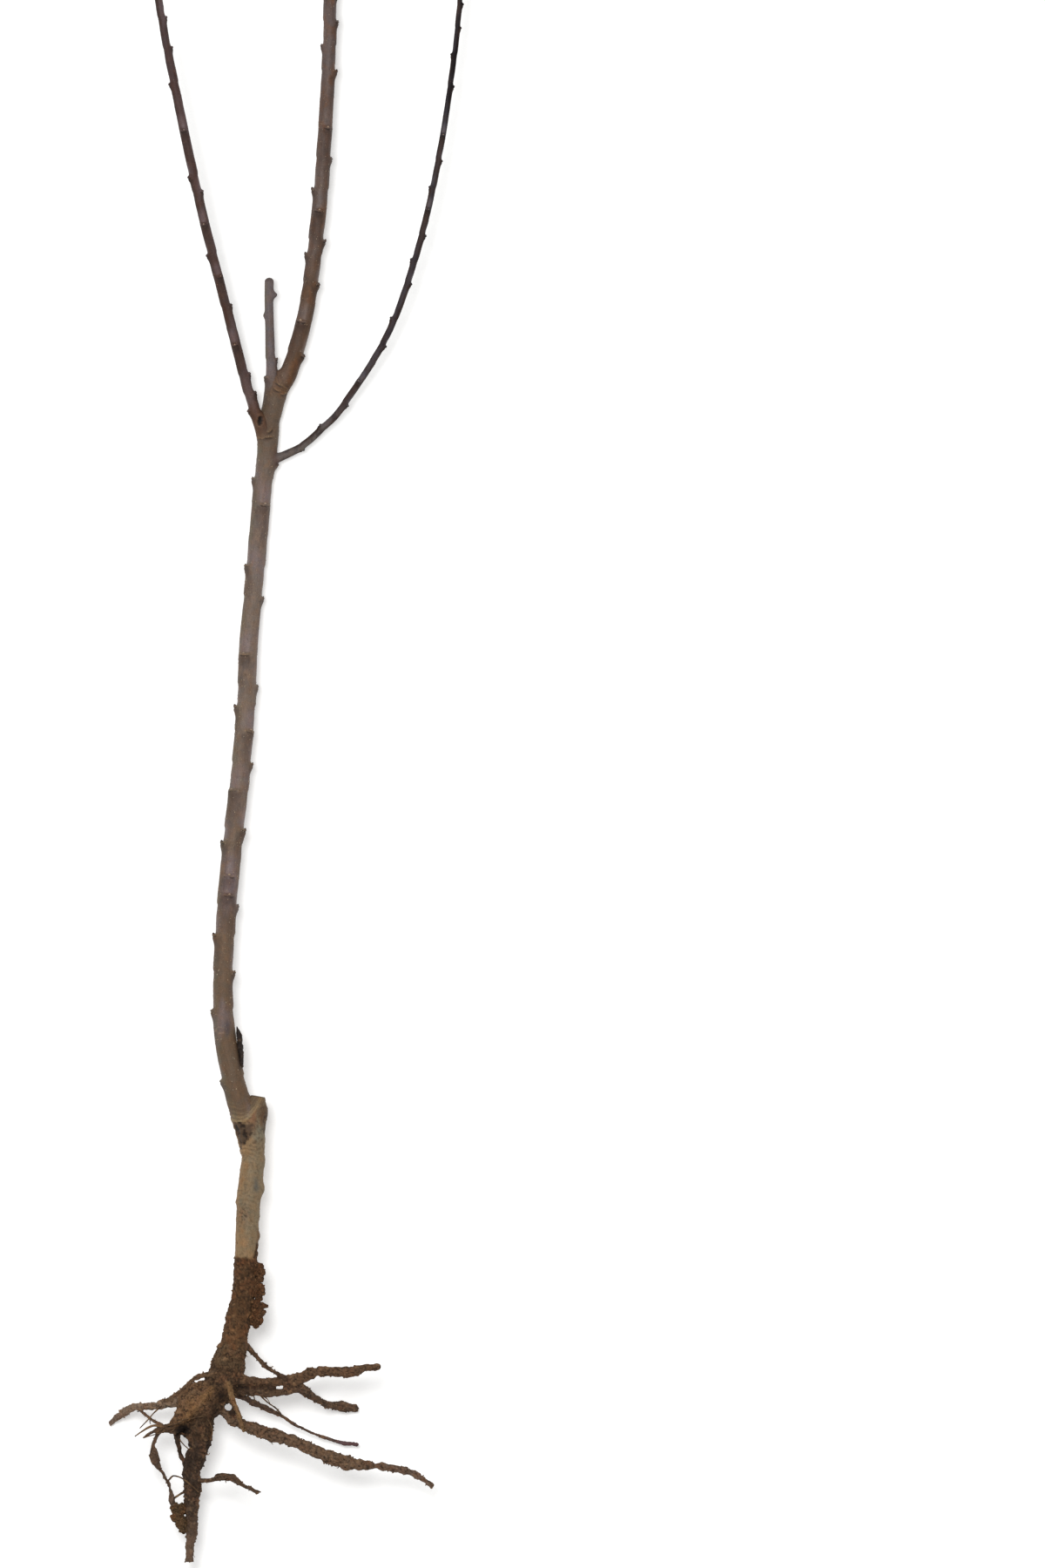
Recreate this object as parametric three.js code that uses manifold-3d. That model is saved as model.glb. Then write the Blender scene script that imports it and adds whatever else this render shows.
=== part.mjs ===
// A bare-root lilac sapling, dug up in winter and lying on its side. A scion is budded on a short rootstock,
// which ends in a pruned snag. The clear stem forks into a leader, two thinner boughs and the pruned stub of
// the first leader. Below the collar are a burl, a tap root, side roots and the soil that still sticks to them.
// Millimetres. +Y runs up the plant, +X to its right and +Z up from the surface that it lies on.
import * as THREE from "three";
import { mergeVertices } from "three/addons/utils/BufferGeometryUtils.js";
import Module from "manifold-3d";

const wasm = await Module();
wasm.setup();

// ---- Driving dimensions ----
const GAP = 0.3; // clear space between two neighbouring pieces
const COLLAR = new THREE.Vector3(-42.8, -487.7, -0.2); // the root collar, seen from the middle of the base

// A bud sits on a leaf cushion that rises slowly from below and drops off sharply above.
const CUSHION_BELOW = 9;
const CUSHION_ABOVE = 1.1;
const CUSHION_SHARE = 0.16; // height over the limb's radius
const BUD_LENGTH_SHARE = 0.62;
const BUD_WIDTH_SHARE = 0.4;
const BUD_LEAST_RADIUS = 2.6; // a thin limb has the buds of one this thick
const BUD_LEAN = 0.45; // how far a bud leans out, over how far it points up
const SIDE_ANGLE = { right: 0, front: 90, left: 180, back: 270 };
const SIDE_WANDER = 22; // degrees
const SPIRAL_TURN = 144; // two fifths of a turn from each bud to the next

const BARK = { stock: 0x8d7858, scion: 0x77675a, leader: 0x75604f, bough: 0x66534c, dark: 0x574a49 };
const EARTH = { root: 0x5f4735, paleRoot: 0x7a6248, clod: 0x5b4230 };

// Each limb is a row of knots, [x, y, z, radius], from its foot to its end. Roots count down from the collar.
// Buds are given by their height above the collar, on each side of the limb.
const LIMBS = {
  rootstock: {
    sides: 12,
    step: 9,
    rough: 0.035,
    knots: [
      [0, 0, 34, 10.5],
      [5, 19, 33.5, 8.9],
      [11, 51, 32, 7.3],
      [12.7, 88, 30.5, 7.1],
      [14.9, 118, 29.4, 7.6],
      [16.4, 134, 28.9, 7.2],
      [17, 150, 28.4, 7.4],
      [18, 161, 28.1, 7.9],
      [19, 168, 28, 6.3],
      [19.8, 172, 28, 4.2],
    ],
  },
  scion: {
    sides: 12,
    step: 12,
    rough: 0.015,
    knots: [
      [15.2, 138, 28.6, 6.8],
      [13.8, 147, 28.5, 8.3],
      [11.6, 156, 28.2, 8],
      [9.6, 164, 28, 7.8],
      [5.8, 178, 27.5, 7.3],
      [-1, 212, 26.4, 6.9],
      [-2.8, 240, 25.2, 6.4],
      [-1, 284, 22.9, 6.3],
      [3.3, 332, 20.2, 6.4],
      [8.3, 378, 17.6, 6.1],
      [12.5, 430, 14.9, 6],
      [16, 484, 11.6, 5.9],
      [19.8, 526, 9.4, 5.9],
      [22.2, 558, 8.1, 6],
      [25.2, 585, 7, 6.7],
      [27.2, 600, 7.2, 6.6],
      [29.6, 617, 8.4, 6],
    ],
    buds: {
      right: [257, 293, 342, 383, 431, 488],
      front: [311, 404, 450, 546],
      left: [240, 273, 332, 364, 418, 506, 562],
      back: [320, 373, 468, 526],
    },
  },
  leader_collar: {
    sides: 12,
    step: 5,
    knots: [
      [28.5, 611, 8.8, 5.6],
      [31.5, 618, 9.4, 6.6],
      [34, 622.8, 9.8, 6],
    ],
  },
  left_collar: {
    sides: 10,
    step: 4,
    knots: [
      [26.5, 586, 8.6, 4.4],
      [22.4, 594, 11.2, 5.2],
      [20, 599.5, 12.4, 4.3],
    ],
  },
  right_collar: {
    sides: 10,
    step: 4,
    knots: [
      [25, 573.5, 9, 4.2],
      [30, 574.6, 9.6, 4.1],
      [33.6, 576, 9.9, 3.1],
    ],
  },
  pruned_stub: {
    sides: 8,
    step: 10,
    knots: [
      [29, 612, 8.6, 3.3],
      [27.4, 630, 10, 3.1],
      [26.4, 652, 12.4, 2.8],
      [25.8, 674, 14.6, 2.8],
      [26, 687, 15.8, 3],
      [26.2, 690, 16.1, 2.2],
    ],
    buds: { right: [638, 677], left: [627, 665], back: [653] },
    budScale: 1.25,
  },
  leader: {
    sides: 9,
    step: 14,
    knots: [
      [30.5, 615, 9.2, 6],
      [39.6, 632.5, 11, 5.5],
      [50.2, 672, 15.6, 4.9],
      [57.9, 732, 20, 4.7],
      [62.4, 792, 21.4, 4.5],
      [64.8, 853, 20.4, 4.4],
      [63, 914, 18, 3.8],
      [62.4, 975, 15.6, 3.1],
      [65.8, 1035, 14.7, 2.6],
      [68.8, 1096, 17.4, 1.5],
    ],
    buds: {
      right: [642, 686, 713, 765, 820, 851],
      front: [662, 732, 784],
      left: [704, 745, 836],
      back: [674, 722, 757, 802],
    },
    spiralFrom: 868,
    internode: 21,
  },
  left_bough: {
    sides: 7,
    step: 13,
    knots: [
      [21.5, 596, 11.6, 3.6],
      [1.9, 661, 27.6, 3.1],
      [-15.2, 728, 41.9, 3],
      [-30.2, 795, 53.3, 2.9],
      [-42.4, 863, 60.2, 2.5],
      [-50.9, 933, 61.5, 1.9],
      [-61, 1002, 59, 1.2],
    ],
    buds: {
      right: [616, 628, 671, 743, 833],
      front: [648, 690, 723, 782],
      left: [607, 704, 753, 811],
      back: [658, 735, 797],
    },
    spiralFrom: 852,
    internode: 19,
  },
  right_bough: {
    sides: 7,
    step: 11,
    knots: [
      [31.5, 575.2, 9.7, 2.6],
      [48, 583.2, 12, 2.35],
      [74, 608.6, 19, 2.15],
      [101.8, 654, 28.4, 2.1],
      [120.6, 708, 33.6, 2.05],
      [133.8, 766, 34.7, 1.9],
      [143.4, 828, 33.4, 1.8],
      [148.7, 880, 31.4, 1.65],
      [160, 984, 32.4, 1],
    ],
    buds: {
      right: [583, 610, 647, 686, 716, 763, 810, 847],
      front: [624, 732, 779],
      left: [595, 663, 700, 746, 830],
      back: [636, 675, 725, 795],
    },
    spiralFrom: 862,
    internode: 17,
  },
  bark_flap: {
    sides: 8,
    step: 6,
    flat: 0.5,
    knots: [
      [10.4, 191.6, 28.8, 1.1],
      [10, 196, 29, 2.3],
      [9.3, 202, 29.2, 2.5],
      [8.7, 207.6, 29, 2.3],
      [7.8, 212, 28.8, 1.9],
      [6.6, 216.8, 28.4, 0.9],
    ],
  },
  crown: {
    sides: 14,
    step: 4,
    rough: 0.05,
    knots: [
      [0, -GAP, 34, 10.4],
      [-3, -10, 34.6, 11.2],
      [-9.5, -19, 35, 10.8],
      [-15.4, -28, 34.8, 8.6],
      [-17.4, -36, 34.2, 8.2],
      [-17.8, -43, 33.4, 7.8],
    ],
  },
  burl: {
    sides: 10,
    step: 4,
    rough: 0.09,
    knots: [
      [-10, -12.5, 36, 7.2],
      [-21, -19.5, 38, 9],
      [-27, -28, 36.5, 6.6],
      [-34, -37, 33.6, 4.6],
    ],
  },
  tap_root: {
    sides: 9,
    step: 5,
    rough: 0.09,
    knots: [
      [-17.6, -40, 33.6, 7.4],
      [-17.6, -47, 32.8, 6.6],
      [-20, -56, 32, 5.9],
      [-22.2, -64, 31.4, 5.7],
      [-22.1, -78, 30, 5],
      [-22.4, -90, 29, 4.4],
      [-22.8, -103, 28, 3.3],
      [-23.6, -120.5, 27, 2.4],
    ],
  },
  left_root: {
    sides: 8,
    step: 5,
    rough: 0.1,
    knots: [
      [-22, -16, 36, 5],
      [-34, -20, 33.6, 3.5],
      [-46, -22.9, 28, 2.6],
      [-58.6, -23.8, 19, 2.3],
      [-66, -28, 9.6, 2.4],
      [-74, -34, 1.7, 1.7],
    ],
  },
  upper_left_root: {
    sides: 6,
    step: 6,
    rough: 0.12,
    knots: [
      [-6, -4, 39, 2.2],
      [-13, -3, 42, 1.8],
      [-19.4, -5, 42.4, 1.7],
      [-27, -11, 41, 1.4],
      [-38, -19.2, 35.6, 1.2],
    ],
  },
  left_rootlets: {
    sides: 6,
    step: 5,
    rough: 0.12,
    knots: [
      [-33, -36, 34.4, 3.6],
      [-41, -37.6, 36, 3],
      [-48, -38.6, 38, 1.5],
      [-53, -41, 38.4, 1],
      [-58, -44.4, 38, 0.7],
    ],
  },
  crossing_rootlet: {
    sides: 6,
    step: 6,
    rough: 0.12,
    knots: [
      [-56, -25, 22, 1.1],
      [-48, -31.4, 28, 1.2],
      [-39.6, -36.4, 33.6, 1.5],
    ],
  },
  hanging_root: {
    sides: 6,
    step: 5,
    rough: 0.1,
    knots: [
      [-43, -38.6, 34.6, 1.3],
      [-46.6, -46, 34, 1.2],
      [-46.4, -55, 33.4, 3],
      [-43.4, -62.6, 33, 1],
      [-37.8, -72, 32, 0.9],
      [-35.6, -80, 31, 1.2],
      [-33.6, -85, 30, 2],
    ],
  },
  behind_root: {
    sides: 6,
    step: 5,
    rough: 0.1,
    knots: [
      [-32, -40, 28.6, 1.8],
      [-30.6, -48, 29, 1.4],
      [-28, -56, 30, 1.5],
      [-23, -62, 31, 1.6],
    ],
  },
  tap_side_root: {
    sides: 7,
    step: 4,
    rough: 0.12,
    knots: [
      [-19, -70, 32, 1.6],
      [-10, -69.6, 38, 1.5],
      [-4.4, -67.4, 41.4, 2.4],
      [3.6, -68.2, 43.4, 2],
      [10.4, -72.8, 44, 1.3],
      [20, -76.8, 43.6, 1],
    ],
  },
  forked_root: {
    sides: 8,
    step: 5,
    rough: 0.09,
    knots: [
      [5, -6, 37, 3.4],
      [18, -7.3, 37.9, 2.8],
      [32, -7.3, 37.6, 2.6],
      [44.2, -6.2, 37.2, 4.1],
      [55.9, -1.1, 39.4, 3.3],
      [68, -0.6, 41.4, 2.9],
      [79, -0.8, 43.6, 3.3],
      [88, 1.8, 45.4, 2.5],
      [95, 2.3, 46.6, 2.1],
    ],
  },
  lower_fork: {
    sides: 8,
    step: 5,
    rough: 0.09,
    knots: [
      [5, -12, 34, 3.4],
      [18, -14, 34.6, 2.8],
      [32, -15, 34.4, 2.7],
      [43.6, -11, 34.6, 4.1],
      [53, -16.4, 27, 2.5],
      [62, -22, 16, 2.2],
      [71, -23.6, 7.4, 2.7],
      [80.6, -25.4, 2.1, 2.2],
    ],
  },
  middle_root: {
    sides: 6,
    step: 6,
    rough: 0.1,
    knots: [
      [3, -14, 27, 2.4],
      [18.3, -21.9, 21.3, 1.9],
      [33.5, -29.6, 15, 1.3],
      [48.5, -38.4, 10.7, 0.8],
      [65.2, -44.9, 7.6, 1.1],
      [83, -48, 6, 1.4],
    ],
  },
  long_root: {
    sides: 9,
    step: 5,
    rough: 0.09,
    knots: [
      [-5, -19, 35, 4.6],
      [-1, -26.8, 36.6, 3.8],
      [5, -31.6, 38.6, 3.7],
      [14.3, -35.8, 41.6, 3.8],
      [24.3, -39.6, 44.5, 4],
      [42, -44.8, 46.2, 3.6],
      [59.7, -52.8, 46, 3.9],
      [77.6, -58.8, 43.3, 4],
      [95.8, -60.6, 38.9, 2.4],
      [114, -64.2, 33.5, 2.2],
      [129.6, -73, 27, 1.1],
    ],
  },
  front_root: {
    sides: 7,
    step: 5,
    rough: 0.09,
    knots: [
      [-2.6, -5, 43.5, 2.5],
      [-1.2, -9.6, 46.8, 2],
      [1.8, -17.6, 49.4, 1.7],
      [4.6, -24.6, 49.4, 1.7],
      [7.2, -30.4, 48, 1.7],
      [9.6, -38, 43, 1.4],
    ],
  },
  upper_right_root: {
    sides: 6,
    step: 5,
    rough: 0.12,
    knots: [
      [7, 19, 35, 2.2],
      [12.4, 14.6, 37, 2],
      [16, 11, 38, 1.7],
      [25.4, 1.6, 41, 1.4],
      [32, -2.6, 41.6, 1.3],
      [37, -5, 40, 1.5],
    ],
  },
};

// Lumps of dried soil: [x, y, z] of the middle, half sizes, and a seed for the shape.
const CLODS = {
  upper_clod: { at: [20.6, 61.6, 33], half: [3.2, 5.4, 5], seed: 1 },
  middle_clod: { at: [20.2, 49.4, 33.4], half: [3.9, 5.8, 5.4], seed: 2 },
  lower_clod: { at: [19.9, 33.4, 34], half: [5, 7.6, 5.8], seed: 3 },
  tap_clod: { at: [-30.4, -93.4, 29.6], half: [4.8, 8.6, 5], seed: 4 },
};
const CLOD_DETAIL = 2;

// ---- Limbs ----
const curveThrough = (points) => new THREE.CatmullRomCurve3(points, false, "catmullrom");

// A limb's axis, its radius along it and the buds on it, all found by the distance from its first knot.
class Limb {
  constructor(spec) {
    this.spec = spec;
    this.axis = curveThrough(spec.knots.map(([x, y, z]) => new THREE.Vector3(x, y, z)));
    this.girth = curveThrough(spec.knots.map(([, , , radius]) => new THREE.Vector3(radius, 0, 0)));
    this.length = this.axis.getLength();
    this.buds = this.placeBuds();
  }

  // The curve's own parameter at a distance.
  parameter(distance) {
    return this.axis.getUtoTmapping(0, THREE.MathUtils.clamp(distance, 0, this.length));
  }

  centre(distance) {
    return this.axis.getPoint(this.parameter(distance));
  }

  radius(distance) {
    return this.girth.getPoint(this.parameter(distance)).x;
  }

  // The limb's own right and front at a distance, square to its axis.
  frame(distance) {
    const along = this.axis.getTangent(this.parameter(distance));
    const right = new THREE.Vector3(0, 0, 1).cross(along).normalize().negate();
    const front = new THREE.Vector3().crossVectors(right, along);
    return { along, right, front };
  }

  outward(distance, angle) {
    const { right, front } = this.frame(distance);
    return right.multiplyScalar(Math.cos(angle)).addScaledVector(front, Math.sin(angle));
  }

  distanceAtHeight(height) {
    let distance = 0;
    while (distance < this.length && this.centre(distance).y < height) distance += 0.5;
    return distance;
  }

  placeBuds() {
    const { buds = {}, spiralFrom, internode, knots } = this.spec;
    const placed = Object.entries(buds).flatMap(([side, heights]) =>
      heights.map((height) => ({ height, turn: SIDE_ANGLE[side] + SIDE_WANDER * Math.sin(height) })),
    );
    const top = knots.at(-1)[1] - internode / 2;
    for (let height = spiralFrom, n = 0; height < top; height += internode, n += 1)
      placed.push({ height: height + 0.2 * internode * Math.sin(5 * n), turn: SPIRAL_TURN * n });
    return placed.map(({ height, turn }) => ({
      distance: this.distanceAtHeight(height),
      angle: THREE.MathUtils.degToRad(turn),
    }));
  }

  // How far the leaf cushions stand out of the limb.
  cushion(distance, angle) {
    let height = 0;
    for (const bud of this.buds) {
      const past = distance - bud.distance;
      const along = 1 - (past < 0 ? -past / CUSHION_BELOW : past / CUSHION_ABOVE);
      const around = Math.cos(angle - bud.angle);
      if (along > 0 && around > 0) height += CUSHION_SHARE * this.radius(distance) * along * around;
    }
    return height;
  }

  // Long swellings and hollows, as a share of the radius.
  roughness(distance, angle) {
    const { rough = 0, knots } = this.spec;
    const phase = knots[0][0];
    const slow = Math.sin(0.5 * distance + 2 * angle + phase);
    const fast = Math.sin(1.35 * distance - 3 * angle + 2 * phase);
    return rough * (0.6 * slow + 0.4 * fast);
  }

  ringDistances() {
    const count = Math.max(2, Math.round(this.length / this.spec.step));
    const even = Array.from({ length: count + 1 }, (_, i) => (i * this.length) / count);
    const atBuds = this.buds.flatMap(({ distance }) => [
      distance - CUSHION_BELOW,
      distance - 0.2,
      distance + CUSHION_ABOVE,
    ]);
    const inside = atBuds.filter((d) => d > 1 && d < this.length - 1);
    const sorted = [...inside, ...even.filter((d) => !inside.some((at) => Math.abs(at - d) < 2.5))];
    sorted.sort((a, b) => a - b);
    return sorted.filter((d, i) => i === 0 || d - sorted[i - 1] > 0.6);
  }

  // A cylinder bent along the axis, with its rings at the ring distances.
  skin(grow) {
    const rings = this.ringDistances();
    const geometry = new THREE.CylinderGeometry(1, 1, 1, this.spec.sides, rings.length - 1);
    const position = geometry.getAttribute("position");
    const flat = this.spec.flat ?? 1;
    for (let i = 0; i < position.count; i += 1) {
      const row = Math.round((0.5 - position.getY(i)) * (rings.length - 1));
      const distance = rings[row];
      const angle = Math.atan2(position.getX(i), position.getZ(i));
      const share = Math.hypot(position.getX(i), position.getZ(i));
      const swell = 1 + this.roughness(distance, angle);
      const radius = share * (this.radius(distance) * swell + this.cushion(distance, angle) + grow);
      const { right, front } = this.frame(distance);
      const point = this.centre(distance)
        .addScaledVector(right, flat * radius * Math.cos(angle))
        .addScaledVector(front, radius * Math.sin(angle));
      position.setXYZ(i, point.x, point.y, point.z);
    }
    return geometry;
  }

  budSkin({ distance, angle }) {
    const { budScale = 1 } = this.spec;
    const radius = Math.max(this.radius(distance), BUD_LEAST_RADIUS) * budScale;
    const half = new THREE.Vector3(BUD_WIDTH_SHARE, BUD_LENGTH_SHARE, BUD_WIDTH_SHARE).multiplyScalar(radius / 2);
    const outward = this.outward(distance, angle);
    const lean = this.frame(distance).along.addScaledVector(outward, BUD_LEAN).normalize();
    const turn = new THREE.Quaternion().setFromUnitVectors(new THREE.Vector3(0, 1, 0), lean);
    const middle = this.centre(distance + 0.6 * half.y).addScaledVector(outward, this.radius(distance));
    return new THREE.SphereGeometry(1, 5, 3).applyMatrix4(new THREE.Matrix4().compose(middle, turn, half));
  }

  solid(grow = 0) {
    const buds = grow > 0 ? [] : this.buds.map((bud) => solidOf(this.budSkin(bud)));
    return buds.reduce((whole, bud) => whole.add(bud), solidOf(this.skin(grow)));
  }
}

// ---- Solids ----
function solidOf(geometry) {
  geometry.deleteAttribute("normal");
  geometry.deleteAttribute("uv");
  const merged = mergeVertices(geometry, 1e-4);
  const mesh = new wasm.Mesh({
    numProp: 3,
    vertProperties: merged.getAttribute("position").array,
    triVerts: new Uint32Array(merged.index.array),
  });
  return new wasm.Manifold(mesh);
}

function geometryOf(solid) {
  const { vertProperties, triVerts } = solid.getMesh();
  const geometry = new THREE.BufferGeometry();
  geometry.setAttribute("position", new THREE.BufferAttribute(vertProperties, 3));
  geometry.setIndex(new THREE.BufferAttribute(triVerts, 1));
  geometry.computeVertexNormals();
  return geometry;
}

// Cutting a piece can leave a scrap behind, so only its largest body is kept.
function largestBody(solid) {
  return solid.decompose().reduce((a, b) => (a.volume() > b.volume() ? a : b));
}

function clodSolid({ at, half, seed }, grow = 0) {
  const geometry = new THREE.IcosahedronGeometry(1, CLOD_DETAIL);
  const position = geometry.getAttribute("position");
  const point = new THREE.Vector3();
  for (let i = 0; i < position.count; i += 1) {
    point.fromBufferAttribute(position, i);
    const swell = 1 + 0.13 * Math.sin(5 * point.y + 3 * seed) * Math.cos(4 * point.z + seed);
    point.multiplyScalar(swell).multiply(new THREE.Vector3(...half).addScalar(grow));
    point.add(new THREE.Vector3(...at));
    position.setXYZ(i, point.x, point.y, point.z);
  }
  return solidOf(geometry);
}

// The parts of the plant, and the limbs or clods joined in each. Each is cut clear of those before it.
const PARTS = [
  {
    name: "trunk",
    of: ["rootstock", "scion", "leader_collar", "left_collar", "right_collar"],
    colour: BARK.scion,
  },
  { name: "pruned_stub", of: ["pruned_stub"], colour: BARK.scion },
  { name: "leader", of: ["leader"], colour: BARK.leader },
  { name: "left_bough", of: ["left_bough"], colour: BARK.bough },
  { name: "right_bough", of: ["right_bough"], colour: BARK.dark },
  { name: "bark_flap", of: ["bark_flap"], colour: BARK.dark },
  { name: "root_crown", of: ["crown", "burl"], colour: EARTH.root },
  { name: "tap_root", of: ["tap_root"], colour: EARTH.root },
  { name: "left_root", of: ["left_root"], colour: EARTH.paleRoot },
  { name: "forked_root", of: ["forked_root", "lower_fork"], colour: EARTH.root },
  { name: "long_root", of: ["long_root"], colour: EARTH.paleRoot },
  { name: "middle_root", of: ["middle_root"], colour: EARTH.root },
  { name: "front_root", of: ["front_root"], colour: EARTH.paleRoot },
  { name: "upper_right_root", of: ["upper_right_root"], colour: EARTH.root },
  { name: "upper_left_root", of: ["upper_left_root"], colour: EARTH.paleRoot },
  { name: "left_rootlets", of: ["left_rootlets"], colour: EARTH.paleRoot },
  { name: "crossing_rootlet", of: ["crossing_rootlet"], colour: EARTH.paleRoot },
  { name: "behind_root", of: ["behind_root"], colour: EARTH.root },
  { name: "tap_side_root", of: ["tap_side_root"], colour: EARTH.root },
  { name: "upper_clod", of: ["upper_clod"], colour: EARTH.clod },
  { name: "middle_clod", of: ["middle_clod"], colour: EARTH.clod },
  { name: "lower_clod", of: ["lower_clod"], colour: EARTH.clod },
  { name: "tap_clod", of: ["tap_clod"], colour: EARTH.clod },
  { name: "hanging_root", of: ["hanging_root"], colour: EARTH.paleRoot },
];

const limbs = Object.fromEntries(Object.entries(LIMBS).map(([name, spec]) => [name, new Limb(spec)]));
const pieceSolid = (name, grow) => (name in CLODS ? clodSolid(CLODS[name], grow) : limbs[name].solid(grow));
const joined = (names, grow) =>
  names.map((name) => pieceSolid(name, grow)).reduce((whole, next) => whole.add(next));

function buildMesh({ name, of, colour }, before) {
  const whole = before.reduce((left, other) => left.subtract(joined(other.of, GAP)), joined(of, 0));
  const material = new THREE.MeshStandardMaterial({ color: colour, roughness: 0.85, metalness: 0 });
  const mesh = new THREE.Mesh(geometryOf(largestBody(whole)), material);
  mesh.name = name;
  return mesh;
}

const sapling = new THREE.Group();
sapling.name = "lilac_sapling";
PARTS.forEach((part, i) => sapling.add(buildMesh(part, PARTS.slice(0, i))));
sapling.position.copy(COLLAR);

export default sapling;
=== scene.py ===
import math
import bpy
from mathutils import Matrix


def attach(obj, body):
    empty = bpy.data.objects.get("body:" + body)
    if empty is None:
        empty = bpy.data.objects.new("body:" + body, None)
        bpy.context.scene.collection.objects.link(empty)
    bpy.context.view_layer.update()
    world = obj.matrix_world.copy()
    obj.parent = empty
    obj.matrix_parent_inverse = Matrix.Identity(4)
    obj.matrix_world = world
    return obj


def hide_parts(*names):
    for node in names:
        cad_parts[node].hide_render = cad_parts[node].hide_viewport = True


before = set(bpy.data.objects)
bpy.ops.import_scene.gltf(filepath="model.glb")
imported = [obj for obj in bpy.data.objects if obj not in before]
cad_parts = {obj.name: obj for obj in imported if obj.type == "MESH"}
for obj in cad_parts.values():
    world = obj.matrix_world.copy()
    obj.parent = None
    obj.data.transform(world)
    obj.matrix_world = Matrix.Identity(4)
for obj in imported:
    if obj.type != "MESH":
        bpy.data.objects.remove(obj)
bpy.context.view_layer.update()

from types import SimpleNamespace

import bmesh
import bpy
import numpy as np
import openvdb
from mathutils import Vector
from mathutils.kdtree import KDTree

# A bare-root lilac sapling that lies on its side. All sizes are in millimetres from the root
# collar: x to the plant's right, y up the plant, z up from the floor.
MM = 0.001
COLLAR = np.array([-42.8, -487.7, -0.2])  # the collar's place in the part
FLOOR = 0.2  # height of the floor in the plant's own numbers
SIDE_ANGLE = {"right": 0, "front": 90, "left": 180, "back": 270}
SIDE_WANDER = 22  # degrees a bud may stand off its side
SPIRAL_TURN = 144  # degrees from one bud of the spiral to the next
FAR = 9.0  # what a distance field holds where nothing is near


# ---- small helpers ----
def srgb(*rgb):
    """A linear colour from 0-255 sRGB."""
    c = np.asarray(rgb, float) / 255
    return np.where(c <= 0.04045, c / 12.92, ((c + 0.055) / 1.055) ** 2.4)


def clamp(x):
    """x, held between 0 and 1."""
    return np.clip(x, 0, 1)


def smooth(lo, hi, x):
    """0 at lo and 1 at hi, eased between them; hi may be the smaller."""
    t = clamp((np.asarray(x, float) - lo) / (hi - lo))
    return t * t * (3 - 2 * t)


def hump(x, width):
    """A bell with its top, 1, at 0."""
    return np.exp(-((np.asarray(x, float) / width) ** 2))


def mix(a, b, m):
    """a where m is 0 and b where it is 1; m is a number, or one for each row."""
    m = np.asarray(m, float)
    return a + (b - a) * (m[:, None] if m.ndim else m)


def paint(tint, *layers):
    """A tint with layers laid over it in turn: each a colour and how much of it shows."""
    for colour, share in layers:
        tint = mix(tint, colour, share)
    return tint


def ramp(x, stops):
    """Colours along x, given (x, colour) stops."""
    at, colours = zip(*stops)
    return np.stack([np.interp(x, at, channel) for channel in np.transpose(colours)], 1)


def turn_gap(a, b):
    """Smallest difference between angles a and b, in radians."""
    return (np.asarray(a) - b + math.pi) % (2 * math.pi) - math.pi


def unit(v):
    return v / np.maximum(np.linalg.norm(v, axis=-1, keepdims=True), 1e-12)


def soft_union(a, b, soft):
    """The smaller of two distances, with a fillet where they are alike."""
    return np.minimum(a, b) - clamp(1 - np.abs(a - b) / soft) ** 2 * soft / 4


# ---- noise ----
def _hash(cell, seed):
    """A hash of each cell, and three numbers from it between 0 and 1023."""
    h = cell[:, 0] * 73856093 ^ cell[:, 1] * 19349663 ^ cell[:, 2] * 83492791 ^ (seed * 26544357 + 977)
    h = (h ^ (h >> 13)) * 1274126177 & 0xFFFFFFFF
    h = (h ^ (h >> 15)) * 2246822519 & 0xFFFFFFFF
    h = h ^ (h >> 16)
    return h, np.stack([h & 1023, (h >> 10) & 1023, (h >> 20) & 1023], 1)


def noise(p, seed=0):
    """Gradient noise at points p, about -1 to 1 with cells of size 1."""
    cell = np.floor(p).astype(np.int64)
    f = p - cell
    w = f * f * f * (f * (f * 6 - 15) + 10)
    total = np.zeros(len(p))
    for corner in np.ndindex(2, 2, 2):
        c = np.array(corner)
        slope = _hash(cell + c, seed)[1] / 511.5 - 1
        weight = np.prod(np.where(c, w, 1 - w), axis=1)
        total += weight * np.einsum("ij,ij->i", slope, f - c)
    return total * 1.3


def fbm(p, size, octaves=3, seed=0, stretch=(1, 1, 1)):
    """Layers of noise, each half as large and half as strong as the one before."""
    q = p / (size * np.asarray(stretch, float))
    total, gain = np.zeros(len(p)), 1.0
    for k in range(octaves):
        total += gain * noise(q * 2**k, seed + 17 * k)
        gain *= 0.5
    return total


def cells(p, size, seed=0):
    """Distance to the nearest scattered point, over the cell size, and its random number."""
    q = p / size
    cell = np.floor(q).astype(np.int64)
    best, pick = np.full(len(p), FAR), np.zeros(len(p))
    for corner in np.ndindex(3, 3, 3):
        c = cell + np.array(corner) - 1
        h, thousandths = _hash(c, seed)
        d = np.linalg.norm(q - (c + thousandths / 1023), axis=1)
        nearer = d < best
        best[nearer], pick[nearer] = d[nearer], (h[nearer] % 997) / 997
    return best, pick


# ---- limbs ----
def spline(knots, per_span=30):
    """A uniform Catmull-Rom curve through rows of numbers; its ends run straight on."""
    k = np.asarray(knots, float)
    k = np.vstack([2 * k[0] - k[1], k, 2 * k[-1] - k[-2]])
    t = np.linspace(0, 1, per_span, endpoint=False)[:, None]
    spans = []
    for p0, p1, p2, p3 in zip(k, k[1:], k[2:], k[3:]):
        a, b = (p2 - p0) / 2, (p3 - p1) / 2
        spans.append((2 * p1 - 2 * p2 + a + b) * t**3 + (3 * p2 - 3 * p1 - 2 * a - b) * t**2 + a * t + p1)
    return np.vstack(spans + [k[-2:-1]])


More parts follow.
